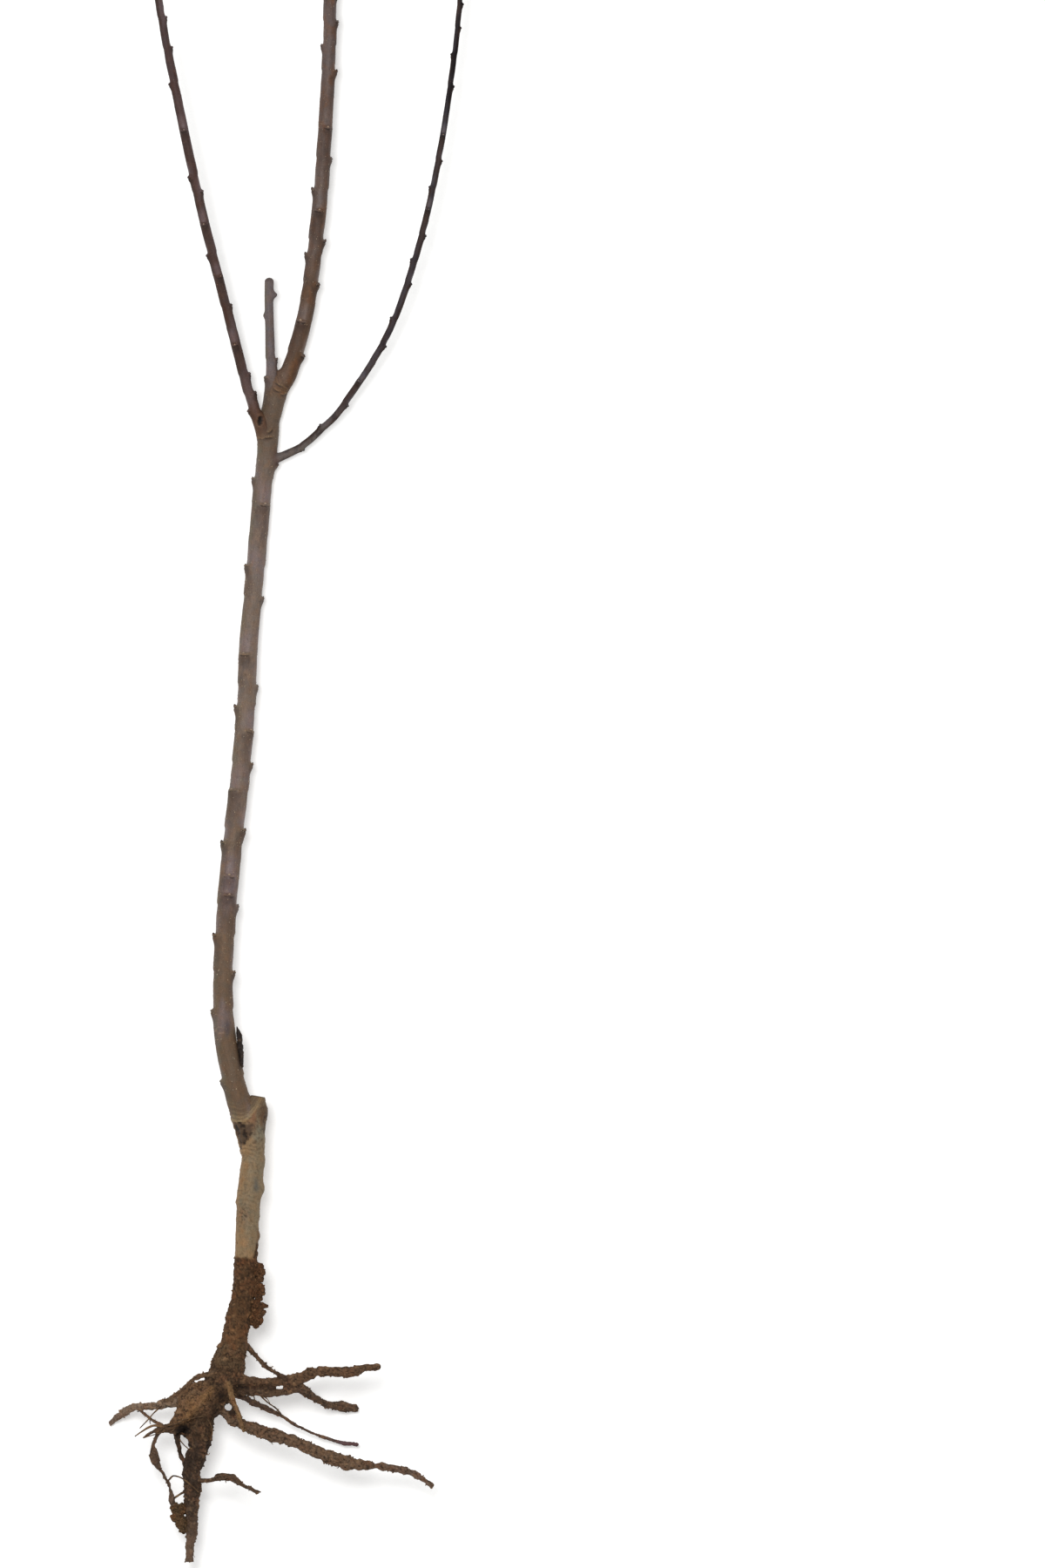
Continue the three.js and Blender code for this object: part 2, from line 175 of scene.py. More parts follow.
def run_along(rows):
    """Distance along a curve at each of its rows."""
    return np.r_[0, np.cumsum(np.linalg.norm(np.diff(rows[:, :3], axis=0), axis=1))]


def sample(rows, run, at, columns=3):
    """A curve's numbers at distances along it."""
    return np.stack([np.interp(at, run, rows[:, k]) for k in range(columns)], -1)


def grid_quads(rings, sides):
    """Quads between closed rings of points."""
    i, j = np.meshgrid(np.arange(rings - 1), np.arange(sides), indexing="ij")
    a, b = i * sides + j, i * sides + (j + 1) % sides
    return np.stack([a, b, b + sides, a + sides], -1).reshape(-1, 4).tolist()


CAPS = {  # rings that close an end: share of the radius, and distance past the end over the radius
    "round": [(0.96, 0.25), (0.84, 0.47), (0.64, 0.66), (0.4, 0.79), (0.14, 0.85)],
    "flat": [(0.985, 0.05), (0.9, 0.09), (0.7, 0.07), (0.45, 0.04), (0.16, 0.03)],
    "point": [(0.9, 0.5), (0.7, 1.1), (0.45, 1.7), (0.2, 2.2)],
}


class Limb:
    """A round limb with rings along a curve. Every vertex knows its distance along it, S, its angle
    round it, A, how far out it is pushed, and its tint, soil and gloss."""

    def __init__(self, knots, step=0.6, sides=32, ends=("flat", "round"), buds=(), bark=None, join=None):
        dense = spline(knots)
        run = run_along(dense)
        self.length, self.sides, self.bark, self.join = run[-1], sides, bark, join
        rows = [(0.0, share, -past) for share, past in reversed(CAPS[ends[0]])]
        rows += [(s, 1.0, 0.0) for s in self._ring_places(dense, run, step, buds)]
        rows += [(self.length, share, past) for share, past in CAPS[ends[1]]]
        self.s, self.share, past = (np.array(c) for c in zip(*rows))
        self.rings = len(self.s)
        line = sample(dense, run, self.s, 4)
        self.radius = line[:, 3]
        self.along = unit(sample(dense, run, self.s + 0.4) - sample(dense, run, self.s - 0.4))
        self.right = unit(np.cross(self.along, [0, 0, 1]))
        self.front = np.cross(self.right, self.along)
        self.centre = self.bare = line[:, :3] + self.along * (past * self.radius)[:, None]
        self.buds = [self._bud(y, turn) for y, turn in buds]
        self._zigzag()
        self.A = np.tile(np.arange(sides) * 2 * math.pi / sides, self.rings)
        every = (self.s, self.radius, self.share, self.centre, self.right, self.front)
        self.S, self.R, self.share_all, self.C, right, front = (np.repeat(v, sides, 0) for v in every)
        self.out = right * np.cos(self.A)[:, None] + front * np.sin(self.A)[:, None]
        self.rest = self.C + self.out * (self.R * self.share_all)[:, None]
        self.push, self.soil, self.gloss = np.zeros((3, len(self.S)))

    def _ring_places(self, dense, run, step, buds):
        """Distances of the rings: step apart, and closer round each bud."""
        fine = np.arange(0, self.length, 0.1)
        need = np.full(len(fine), 1 / step)
        for y, _ in buds:
            at = run[np.argmin(np.abs(dense[:, 1] - y))]
            need = np.maximum(need, smooth(3.4, 2.4, np.abs(fine - at - 0.6)) * 2.9)
        total = np.cumsum(need) * 0.1
        count = max(4, int(round(total[-1])))
        even = np.linspace(0, total[-1], count + 1)
        return np.interp(even, np.r_[0, total], np.r_[0, fine[1:], self.length])

    def _bud(self, y, turn):
        """A bud at a height up the plant: (distance, angle, ring)."""
        i = int(np.argmin(np.abs(self.centre[:, 1] - y) + 1e3 * (self.share < 1)))
        return float(self.s[i]), math.radians(turn) % (2 * math.pi), i

    def _zigzag(self):
        """Each internode leans a little away from the bud below it."""
        for s0, turn, i in self.buds:
            u = self.s - s0
            lean = smooth(-9, -0.6, u) * smooth(1.6, -0.4, u) - 0.75 * smooth(-0.6, 2.2, u) * smooth(15, 3, u)
            reach = 0.06 + 0.045 * self.radius[i]
            way = self.right[i] * math.cos(turn) + self.front[i] * math.sin(turn)
            self.centre = self.centre + lean[:, None] * reach * way

    def unrolled(self, along):
        """Coordinates round the limb and along it."""
        return np.stack([np.cos(self.A) * self.R, np.sin(self.A) * self.R, along], 1)

    def skin(self):
        """The surface points, with every vertex pushed out."""
        return self.rest + self.out * (self.push * self.share_all)[:, None]

    def normals(self):
        """Outward directions of the pushed surface."""
        grid = self.skin().reshape(self.rings, self.sides, 3)
        across = np.roll(grid, -1, 1) - np.roll(grid, 1, 1)
        return unit(np.cross(across, np.gradient(grid, axis=0))).reshape(-1, 3)

    def mesh(self):
        """Points and faces; the last two points close the ends."""
        points, n, m = self.skin(), self.rings, self.sides
        j = np.arange(m)
        first = np.stack([(j + 1) % m, j, np.full(m, n * m)], 1)
        last = np.stack([(n - 1) * m + j, (n - 1) * m + (j + 1) % m, np.full(m, n * m + 1)], 1)
        ends = [points[:m].mean(0), points[-m:].mean(0)]
        return np.vstack([points, ends]), grid_quads(n, m) + first.tolist() + last.tolist()

    def clearance(self, p):
        """Signed distance from points p to this limb's bare surface."""
        c, r, block = self.bare[::3], self.radius[::3], 20000
        blocks = (p[k : k + block] for k in range(0, len(p), block))
        return np.concatenate([(np.linalg.norm(q[:, None] - c, axis=2) - r).min(1) for q in blocks])


def spiral_buds(start=None, step=0, top=0, **sides):
    """Bud heights by side, then a two-fifths spiral that carries on to the tip."""
    out = [(y, SIDE_ANGLE[side] + SIDE_WANDER * math.sin(y)) for side, ys in sides.items() for y in ys]
    n, y = 0, start
    while start is not None and y < top - step / 2:
        out.append((y + 0.2 * step * math.sin(5 * n), SPIRAL_TURN * n))
        y, n = y + step, n + 1
    return out


def fillet(limb, other, reach, lo, hi):
    """How far limb's surface swells, between two heights, to run smoothly into the other limb."""
    push = np.zeros(len(limb.rest))
    near = (limb.rest[:, 1] > lo) & (limb.rest[:, 1] < hi)
    push[near] = reach / 4 * clamp(1 - np.abs(other.clearance(limb.rest[near])) / reach) ** 2
    return push


def cushions(limb, shade=0.4):
    """Relief and masks of the leaf cushions and scars; dark is the scar groove with a painted shadow below
    the bud, and above is a painted sheen over it.
    """
    push, dark, rim, above, below = np.zeros((5, len(limb.S)))
    ragged = fbm(limb.rest, 2.6, 3, 19, (1, 1.8, 1))
    for s0, turn, i in limb.buds:
        near = np.abs(limb.S - s0) < 40
        u, rough, r = limb.S[near] - s0, ragged[near], limb.radius[i]
        arc = turn_gap(limb.A[near], turn) * r
        frayed = np.abs(arc) * (1 + 0.5 * rough)
        wide = 0.42 * r + 0.7
        reach = smooth(1.2 * wide, 0.75 * wide, np.abs(arc))
        v = u - 0.55 * (arc / wide) ** 2
        tall = 0.5 + 0.19 * r - 0.1 * max(0.0, r - 4.6)
        body = smooth(-2.6 - 1.1 * r, -0.6, u) ** 1.7 * smooth(1.3, -0.3, u)
        edge = 0.22 * hump(v + 0.1, 0.5) * reach
        push[near] += tall * body * hump(arc, wide) + edge - 0.36 * hump(v + 1.1, 0.5) * reach
        push[near] -= 0.2 * hump(u - 3.5, 1.6) * hump(arc, 0.5 * wide)
        # painted shadow below each bud, over its dark leaf scar
        shadow = smooth(-3.5 - 1.2 * r, -1.6, u - 2 * rough) * smooth(-0.4, -1.2, u)
        shadow = shadow * smooth(1.2 * r, 0.4 * r, frayed)
        groove = hump(v + 1.15 + 0.3 * rough, 0.7) * reach * smooth(-0.75, 0.0, rough)
        streaked = smooth(-34, -12, u - 4 * rough) * smooth(-0.8, -2.5, u) * smooth(1.4 * r, 0.4 * r, frayed)
        for mask, value in (
            (dark, np.maximum(groove, shade * shadow)),
            (rim, hump(v + 0.05, 0.36) * reach * smooth(-0.35, 0.3, rough)),
            # above: a painted sheen just above each bud
            (above, smooth(0.6, 2.4, u) * smooth(5 + 2.4 * r, 2 + r, u) * hump(arc, 0.7 * r + 0.3)),
            (below, streaked),
        ):
            mask[near] = np.maximum(mask[near], value)
    return push, dark, rim, above, below


def add_ledges(limb, places):
    """Torn bark ledges on the front, each with a pale lip and, under it, a dark crack that is partly painted
    shade.
    """
    for x, y, half, tilt, sag in places:
        dx, dy, t = limb.rest[:, 0] - x, limb.rest[:, 1] - y, math.radians(tilt)
        v = (dx * math.cos(t) + dy * math.sin(t)) / half
        u = dy * math.cos(t) - dx * math.sin(t) - sag * v**2
        body = smooth(1.15, 0.7, np.abs(v)) * (np.sin(limb.A) > -0.1)
        pale, dark = hump(u - 0.35, 0.42) * body, hump(u + 0.55, 0.6) * body
        limb.push = limb.push + 0.45 * hump(u - 0.6, 0.8) * body - 0.35 * dark
        # the dark band under each ledge is its crack and painted shade
        limb.tint = paint(limb.tint, (SCAR_RIM, 0.6 * pale), (SCAR_AND_SHADE, 0.9 * clamp(1.2 * dark)))


def borrow_tint(limb, near, far):
    """Near the limb's base, take on the colour of the trunk it grows from."""
    start = np.flatnonzero(limb.S < far)
    found = [trunk_tree.find(limb.rest[k])[1] for k in start]
    limb.tint[start] = mix(limb.tint[start], trunk.tint[found], smooth(far, near, limb.S[start]))


def lump_on(limb, along, tall, long, turn, wide):
    """A round lump on the bark, given how far each point lies along the limb from its middle."""
    return tall * hump(along, long) * hump(turn_gap(limb.A, math.radians(turn)) * limb.R, wide)


# ---- mesh objects ----
pieces = []


def place(points):
    """Metres in the part, from millimetres on the plant."""
    return (points + COLLAR) * MM


def add_piece(name, points, faces, tint, bark, soil=0.0, gloss=0.0, grain=None, slot=None, nodes=()):
    """A piece with a bark's material, and the layers of numbers that the material reads."""
    mesh = bpy.data.meshes.new(name)
    mesh.from_pydata(place(points).tolist(), [], faces)
    mesh.update()
    colour = mesh.color_attributes.new("tint", "FLOAT_COLOR", "POINT")
    rgba = np.ones((len(points), 4), np.float32)
    rgba[:, :3] = clamp(tint)
    colour.data.foreach_set("color", rgba.ravel())
    for key, value in {"soil": soil, "gloss": gloss}.items():
        layer = mesh.attributes.new(key, "FLOAT", "POINT")
        layer.data.foreach_set("value", np.full(len(points), value, np.float32))
    layer = mesh.attributes.new("grain", "FLOAT_VECTOR", "POINT")
    grain = points * 0.6 if grain is None else grain
    layer.data.foreach_set("vector", np.ascontiguousarray(grain, np.float32).ravel())
    mesh.shade_smooth()
    mesh.materials.append(BARKS[bark])
    obj = bpy.data.objects.new(name, mesh)
    bpy.context.scene.collection.objects.link(obj)
    pieces.append((obj, slot or bark, nodes))


def add_limb(name, limb, *nodes):
    """A limb as a piece that replaces CAD nodes."""
    points, faces = limb.mesh()
    layers = (limb.tint, limb.soil, limb.gloss, limb.unrolled(limb.S * 0.16))
    tint, soil, gloss, grain = (np.concatenate([v, v[:1], v[-1:]]) for v in layers)
    add_piece(name, points, faces, tint, limb.bark, soil, gloss, grain, nodes=nodes)


def scatter(shape, faces, origin, axes, size):
    """Copies of one small shape: axes are rows of (x, y, z) unit vectors, size is (n, 3)."""
    local = shape[None] * size[:, None, :]
    world = origin[:, None, :] + np.einsum("nvk,nkc->nvc", local, axes)
    starts = range(0, len(origin) * len(shape), len(shape))
    return world.reshape(-1, 3), [tuple(v + start for v in f) for start in starts for f in faces]


def dome(sides=7):
    """A low closed dome on the xy plane, one unit across each way and one high."""
    rows = [(1.0, -0.6), (0.82, 0.45), (0.42, 0.88)]
    a = np.arange(sides) * 2 * math.pi / sides
    points = [(r * math.cos(t), r * math.sin(t), z) for r, z in rows for t in a] + [(0, 0, 1.0)]
    top = [(2 * sides + j, 2 * sides + (j + 1) % sides, 3 * sides) for j in range(sides)]
    return np.array(points), [range(sides)[::-1], *grid_quads(3, sides), *top]


def ball():
    """An icosphere's points and faces."""
    bm = bmesh.new()
    bmesh.ops.create_icosphere(bm, subdivisions=1, radius=1)
    points = np.array([v.co[:] for v in bm.verts])
    faces = [tuple(v.index for v in f.verts) for f in bm.faces]
    bm.free()
    return points, faces


def bud_shape(around=14, up=11):
    """A blunt plump bud along +z, one unit long, wrapped in three rows of scales."""
    points = []
    for i in range(up + 1):
        t = -0.25 + 1.25 * i / up
        scales = max(t, 0) * 2.6
        row = math.floor(scales)
        for j in range(around):
            a = 2 * math.pi * j / around
            keel = abs(math.cos(a + math.pi / 2 * (row % 2)))
            r = (1 - abs(t - 0.15) ** 2.1 / 0.85**2.1) ** 0.62 if i < up else 0.05
            r *= 1 + 0.1 * (1 - (scales - row)) * keel
            points.append((r * math.cos(a), r * math.sin(a), t))
    ends = [range(around)[::-1], range(up * around, (up + 1) * around)]
    return np.array(points), ends + grid_quads(up + 1, around)


# ---- materials ----
class Nodes:
    """Short hand for wiring a material's nodes; every method but new gives a socket."""

    def __init__(self, material):
        self.tree = material.node_tree
        self.tree.nodes.clear()

    def new(self, kind, inputs, **settings):
        node = self.tree.nodes.new(kind)
        for key, value in settings.items():
            setattr(node, key, value)
        for key, value in inputs.items():
            if isinstance(value, bpy.types.NodeSocket):
                self.tree.links.new(value, node.inputs[key])
            else:
                node.inputs[key].default_value = value
        return node

    def attribute(self, name, output="Fac"):
        return self.new("ShaderNodeAttribute", {}, attribute_name=name).outputs[output]

    def noise(self, vector, scale, detail=3.0, roughness=0.55):
        inputs = {"Vector": vector, "Scale": scale, "Detail": detail, "Roughness": roughness}
        return self.new("ShaderNodeTexNoise", inputs).outputs["Fac"]

    def span(self, value, a, b, c, d):
        inputs = {"Value": value, "From Min": a, "From Max": b, "To Min": c, "To Max": d}
        return self.new("ShaderNodeMapRange", inputs).outputs["Result"]

    def maths(self, operation, a, b):
        return self.new("ShaderNodeMath", {0: a, 1: b}, operation=operation).outputs[0]

    def times(self, a, b):
        return self.maths("MULTIPLY", a, b)

    def blend(self, factor, a, b, kind="MIX"):
        settings = {"data_type": "RGBA", "blend_type": kind, "clamp_factor": True}
        return self.new("ShaderNodeMix", {0: factor, 6: a, 7: b}, **settings).outputs[2]

    def varied(self, colour, value, lo, hi, low, high):
        """Colour times low where value is at lo, up to high where it is at hi."""
        by = self.blend(self.span(value, lo, hi, 0.0, 1.0), low, high)
        return self.blend(1.0, colour, by, "MULTIPLY")


def grey(v):
    return (v, v, v, 1)


WARM, COOL = (1.12, 0.98, 0.86, 1), (0.92, 1.0, 1.08, 1)


def bark_material(name, patch, relief, shine, streaks=0.12):
    """Bark and soil: the mesh's own colours, broken up by fine grain, flecks and streaks along the limb."""
    material = bpy.data.materials.new(name)
    material.use_nodes = True
    n = Nodes(material)
    metres = n.new("ShaderNodeTexCoord", {}).outputs["Object"]
    at_mm = n.new("ShaderNodeVectorMath", {0: metres, "Scale": 1000.0}, operation="SCALE").outputs[0]
    soil, gloss, tint = n.attribute("soil"), n.attribute("gloss"), n.attribute("tint", "Color")
    fine = n.noise(at_mm, 1.9, 4.0, 0.65)
    broad = n.noise(at_mm, 0.22, 3.0)
    streak = n.noise(n.attribute("grain", "Vector"), 1.5, 4.0, 0.6)
    speck = n.noise(at_mm, 3.4, 4.0, 0.75)
    colour = n.blend(patch, tint, n.varied(tint, broad, 0.35, 0.65, WARM, COOL))
    colour = n.varied(colour, streak, 0.3, 0.72, grey(1 - streaks), grey(1 + 0.8 * streaks))
    colour = n.varied(colour, fine, 0.3, 0.7, grey(0.74), grey(1.24))
    colour = n.blend(soil, colour, n.varied(colour, speck, 0.34, 0.66, grey(0.62), (1.42, 1.32, 1.2, 1)))
    rough = n.span(n.maths("ADD", soil, n.times(fine, 0.3)), 0, 1.2, 0.56, 0.98)
    rough = n.maths("SUBTRACT", rough, n.times(gloss, 0.16))
    height = n.maths("ADD", n.times(fine, 0.8), n.times(streak, 0.5))
    height = n.maths("ADD", height, n.times(n.times(speck, soil), 1.6))
    bump = n.new("ShaderNodeBump", {"Height": height, "Strength": 1.0, "Distance": relief * MM})
    inputs = {"Base Color": colour, "Roughness": rough, "Normal": bump.outputs["Normal"]}
    shader = n.new("ShaderNodeBsdfPrincipled", inputs | {"Specular IOR Level": shine})
    n.new("ShaderNodeOutputMaterial", {"Surface": shader.outputs[0]})
    return material


BARKS = {  # strength of the warm and cool patches, depth of the fine relief, shine, streaks
    name: bark_material(name, *numbers)
    for name, numbers in {
        "trunk_bark": (0.6, 0.14, 0.2),
        "leader_bark": (0.5, 0.11, 0.22),
        "left_bough_bark": (0.5, 0.09, 0.2),
        "right_bough_bark": (0.5, 0.09, 0.1),
        "dead_bark": (0.4, 0.15, 0.2),
        "root_bark": (0.5, 0.16, 0.16, 0.25),
        "clod_soil": (0.5, 0.2, 0.15),
    }.items()
}


# ---- named colours ----
SOIL = srgb(94, 70, 49)
# painted shade for the crevices of the soil
CREVICE_SHADE = srgb(53, 40, 29)
# pale soil, also a painted highlight on lump tops and ribs
PALE_SOIL_AND_HIGHLIGHT = srgb(140, 109, 78)
SOIL_RED = srgb(112, 74, 48)
STOCK = srgb(138, 113, 82)
STOCK_ORANGE = srgb(133, 93, 57)
STOCK_GREEN = srgb(113, 108, 90)
STOCK_DARK = srgb(96, 79, 60)
SCION_LOW = srgb(99, 79, 61)
SCION_MID = srgb(119, 103, 89)
SCION_TOP = srgb(118, 103, 93)
FORK = srgb(99, 83, 69)
VIOLET = srgb(121, 105, 106)
MOSS_GREY = srgb(100, 94, 76)
BAND = srgb(81, 63, 57)
STUB = srgb(104, 93, 92)
# dark scar colour, also used for painted shade below buds and ledges
SCAR_AND_SHADE = srgb(50, 38, 33)
SCAR_RIM = srgb(152, 123, 92)
CORK = srgb(160, 142, 120)
# dark crack colour, also laid as painted shade in the fork's crease and hollow
CRACK_AND_SHADE = srgb(42, 31, 24)
CALLUS = srgb(158, 136, 100)
SCION_TAN = srgb(128, 98, 72)
FOLD_PALE = srgb(160, 136, 104)
SCAR_GREY = srgb(84, 88, 86)
GRAFT_GREY = srgb(118, 116, 100)
SCAB = srgb(112, 78, 62)
GRAFT_BROWN = srgb(128, 86, 62)
GRAFT_DARK = srgb(78, 58, 44)
GRAFT_EARTH = srgb(86, 66, 50)
TORN_BROWN = srgb(72, 54, 41)
EDGE_BROWN = srgb(104, 76, 46)
CROTCH_BROWN = srgb(84, 62, 58)
BOUGH_BROWN = srgb(92, 66, 50)
HOLLOW_LIP = srgb(124, 94, 70)
RING_PALE = srgb(150, 130, 112)
BRUISE_GREY = srgb(74, 66, 70)
SAWN_WOOD = srgb(104, 92, 80)
WRINKLE_PALE = srgb(138, 110, 80)
LEFT_FOOT_BROWN = srgb(84, 58, 43)
LEFT_LIP = srgb(120, 90, 66)
FLAP_DARK = srgb(40, 31, 27)
FLAP_EDGE = srgb(72, 57, 47)
FIBRE_PALE = srgb(118, 92, 66)
FIBRE_DARK = srgb(70, 54, 42)
CLOD_BROWN = srgb(88, 62, 43)
CLOD_PALE = srgb(92, 74, 54)
UNDERSIDE_SOIL = srgb(88, 67, 50)
ROOT_TIP = srgb(122, 106, 98)
MIDDLE_TIP = srgb(104, 74, 80)
TAP_TIP = srgb(124, 101, 82)
BARE_WOOD = srgb(154, 116, 78)

# ---- the trunk, which ends in the pruned stub, its boughs and the sawn snag ----
# A knot is a point of a limb's middle line and its radius there: x, y, z, radius.
TRUNK_KNOTS = [
    (-4, -12, 34.4, 7.6), (0.4, 0, 34, 9.2), (4.6, 19, 33.5, 7.7), (7.4, 34, 32.8, 7.5),
    (10.8, 51, 32, 6.8), (12.6, 88, 30.5, 7.2), (14.7, 118, 29.4, 7.5), (16.4, 134, 28.9, 7.0),
    (15.3, 145, 28.5, 8.0), (12.2, 156, 28.2, 8.0), (9.1, 164, 28, 7.7), (5.0, 178, 27.5, 7.3),
    (-1.2, 210, 26.4, 6.9), (-2.8, 240, 25.2, 6.3), (-1, 284, 22.9, 6.2), (3.3, 332, 20.2, 6.3),
    (8.4, 378, 17.6, 6.0), (10.5, 403, 16.4, 6.0), (12.3, 430, 14.9, 5.9), (13.2, 458, 13.2, 5.9),
    (15.6, 484, 11.6, 5.8), (19.4, 526, 9.4, 5.9), (22.2, 558, 8.1, 5.9), (24.6, 577, 7.2, 6.1),
    (26.0, 589, 7, 6.3), (26.9, 600, 7.2, 5.9), (28.3, 613, 8.6, 5.1), (27.7, 628, 10, 3.6),
    (26.9, 648, 12, 2.95), (26.2, 674, 14.6, 2.8), (26.4, 687, 16, 2.9),
]
LEADER_KNOTS = [
    (28.6, 606, 8.2, 4.8), (32.8, 619.5, 9.6, 5.9), (39.9, 632.5, 11, 5.4), (50.3, 672, 15.6, 4.95),
    (57.9, 732, 20, 4.75), (62.3, 792, 21.4, 4.45), (64.8, 853, 20.4, 4.2), (63, 914, 18, 3.7),
    (62.4, 975, 15.6, 3.0), (65.8, 1035, 14.7, 2.4), (68.8, 1093, 17.2, 1.5),
]
LEFT_KNOTS = [
    (24.6, 584, 9, 3.6), (20.6, 596, 11.6, 3.9), (12.4, 621, 16.6, 3.3), (1.9, 661, 27.6, 3.15),
    (-15.2, 728, 41.9, 3.0), (-29.7, 795, 53.3, 2.85), (-42.6, 863, 60.2, 2.4), (-50.9, 933, 61.5, 1.7),
    (-61, 1000, 59, 1.1),
]
RIGHT_KNOTS = [
    (25.5, 573.5, 9, 2.9), (31.5, 575.4, 9.7, 2.75), (47.8, 583.6, 12, 2.35), (61.4, 595.8, 15.6, 2.25),
    (73.6, 609.2, 19, 2.15), (101.7, 654.2, 28.4, 2.1), (120.7, 708, 33.6, 2.05), (133.9, 766, 34.7, 1.9),
    (143.3, 828, 33.4, 1.8), (148.7, 880, 31.4, 1.6), (160, 982, 32.4, 0.95),
]
SNAG_KNOTS = [
    (14.6, 130, 28.8, 5.0), (16.2, 145, 28.4, 6.3), (17.5, 155, 28.1, 6.9), (18.4, 163, 28, 7.3),
    (18.8, 168.4, 28, 5.6), (19.4, 172.2, 28, 4.2),
]
TRUNK_BUDS = spiral_buds(
    right=[251, 293, 341, 383, 432, 488, 638],
    front=[299, 311],
    left=[184, 227, 274, 332, 418, 507, 562, 627],
    back=[320, 373, 468, 526, 653],
) + [(365, 128), (403, 48), (451, 110), (546, 66)]
LEADER_BUDS = spiral_buds(
    868, 21, 1092,
    right=[642, 686, 713, 765, 820, 851],
    front=[662, 732, 784],
    left=[704, 745, 836],
    back=[674, 722, 757, 802],
)
LEFT_BUDS = spiral_buds(
    852, 19, 1000,
    right=[616, 628, 671, 743, 833],
    front=[648, 690, 723, 782],
    left=[607, 704, 753, 811],
    back=[658, 735, 797],
)
RIGHT_BUDS = spiral_buds(
    862, 17, 980,
    right=[583, 610, 647, 686, 716, 763, 810, 847],
    front=[624, 732, 779],
    left=[595, 663, 700, 746, 830],
    back=[636, 675, 725, 795],
)
STOCK_LUMPS = [  # height up the plant, how far out, half length, side in degrees
    (114, 1.9, 4.4, 0), (84.5, 1.3, 3.2, 0), (131, 0.7, 3.4, 0), (97, 0.5, 3, 0), (112, 0.6, 3, 180),
    (106, 0.8, 1.6, 180),
]
STUB_LUMPS = [(678.6, 2.5, 2.1, 0), (665.6, 1.1, 1.9, 180)]
SOIL_LINE = 71  # height of the soil's edge on the stem
FOLD_LOW = 156.4  # lowest point of the graft's fold
GRAFT_FOLDS = [  # how far past the lowest fold, how tall, how wide
    (0.4, 1.0, 1.0), (2.7, 0.75, 0.8), (5.0, 0.3, 0.6), (8.4, 0.2, 0.6), (10.6, 0.12, 0.5),
]
BOUGH_FOOT = (20.6, 599.2)  # where the left bough leaves the trunk
KNOB_Y = 570.8  # height of the knob under the right bough
RIDGE_Y = 589.6  # height of the ridge under the left bough
STUB_TOP = (685, 689.5)  # heights between which the stub's cut end darkens
GRAFT_LOW = 138  # height where the graft begins to swell
# marks on the front: x, y, half width, half height
UPPER_FOLDS = (12, 136, 9, 7)
LOWER_FOLDS = (9, 107, 8, 5)
TORN_BARK = (8.8, 150.4, 7.6, 8.2)
GRAFT_SEAM = (23, 158, 4.6, 8)
STOCK_SCAB = (10.4, 98, 4.2, 6.5)
GREY_SCAR = (18.4, 116.4, 1.5, 5.0)
GREY_PATCH = (19.6, 149, 3.4, 6.4)
RIGHT_DARK_PATCH = (24.0, 162, 5.4, 9)
BROWN_PATCH = (17.0, 160.5, 3.2, 8)
GRAFT_CRACK = (23.4, 151.6, 1.5, 2.0)
BOUGH_PATCH = (20.5, 597, 4.6, 7.5)
FORK_PATCH = (30.8, 575.6, 2.6, 4.6)
TRUNK_BRUISE = (0.0, 215.6, 1.9, 4.4)
LEFT_FOOT = (19.8, 598, 5.0, 10)

# join is the fillet with the trunk: its reach, and the heights it lies between
trunk = Limb(TRUNK_KNOTS, 0.75, 64, ("flat", "round"), TRUNK_BUDS, "trunk_bark")
leader = Limb(LEADER_KNOTS, 0.6, 46, ("flat", "point"), LEADER_BUDS, "leader_bark", join=(5.5, 590, 650))
left = Limb(LEFT_KNOTS, 0.55, 32, ("flat", "point"), LEFT_BUDS, "left_bough_bark", join=(5.0, 575, 625))
right = Limb(RIGHT_KNOTS, 0.5, 26, ("flat", "point"), RIGHT_BUDS, "right_bough_bark", join=(4.0, 560, 592))
snag = Limb(SNAG_KNOTS, 0.5, 64, ("flat", "flat"), bark="trunk_bark", join=(3.5, 136, 186))


# ---- relief and colour of the trunk ----
def fold_height(p):
    """Where the scion's bark rolls over the stock: low at the front left, rising to the right."""
    x = p[:, 0] - 8
    return FOLD_LOW + np.where(x > 0, 0.08 * x**2, -0.3 * x)


def earth(p, rib=0.0, strong=1.0):
    """Soil on bark: how far it lifts, how deep each point lies in a crevice, and its noises."""
    lump_d, lump_r = cells(p, 4.0, 101)
    grit_d, grit_r = cells(p, 1.7, 102)
    small, broad = fbm(p, 1.3, 3, 103), fbm(p, 7, 3, 104)
    loose = smooth(-0.4, 0.4, fbm(p, 9, 2, 105))
    lump = smooth(0.55, 0.1, lump_d) * smooth(0.45, 0.95, lump_r) * (0.4 + loose)
    grit = smooth(0.6, 0.1, grit_d) * smooth(0.3, 1, grit_r)
    crease = np.abs(fbm(p, 3.4, 2, 106, (1.3, 0.85, 1)))
    lift = 0.95 * lump + 0.3 * grit + 0.34 * small + 1.25 * np.sqrt(crease) - 0.6 + 0.25 * broad
    crevice = 0.25 + 0.7 * smooth(0.14, 0.0, crease) - 0.6 * lump - 0.4 * grit - 0.4 * small - 0.4 * rib
    return strong * lift + 0.36 * rib, clamp(crevice), small, broad, lump


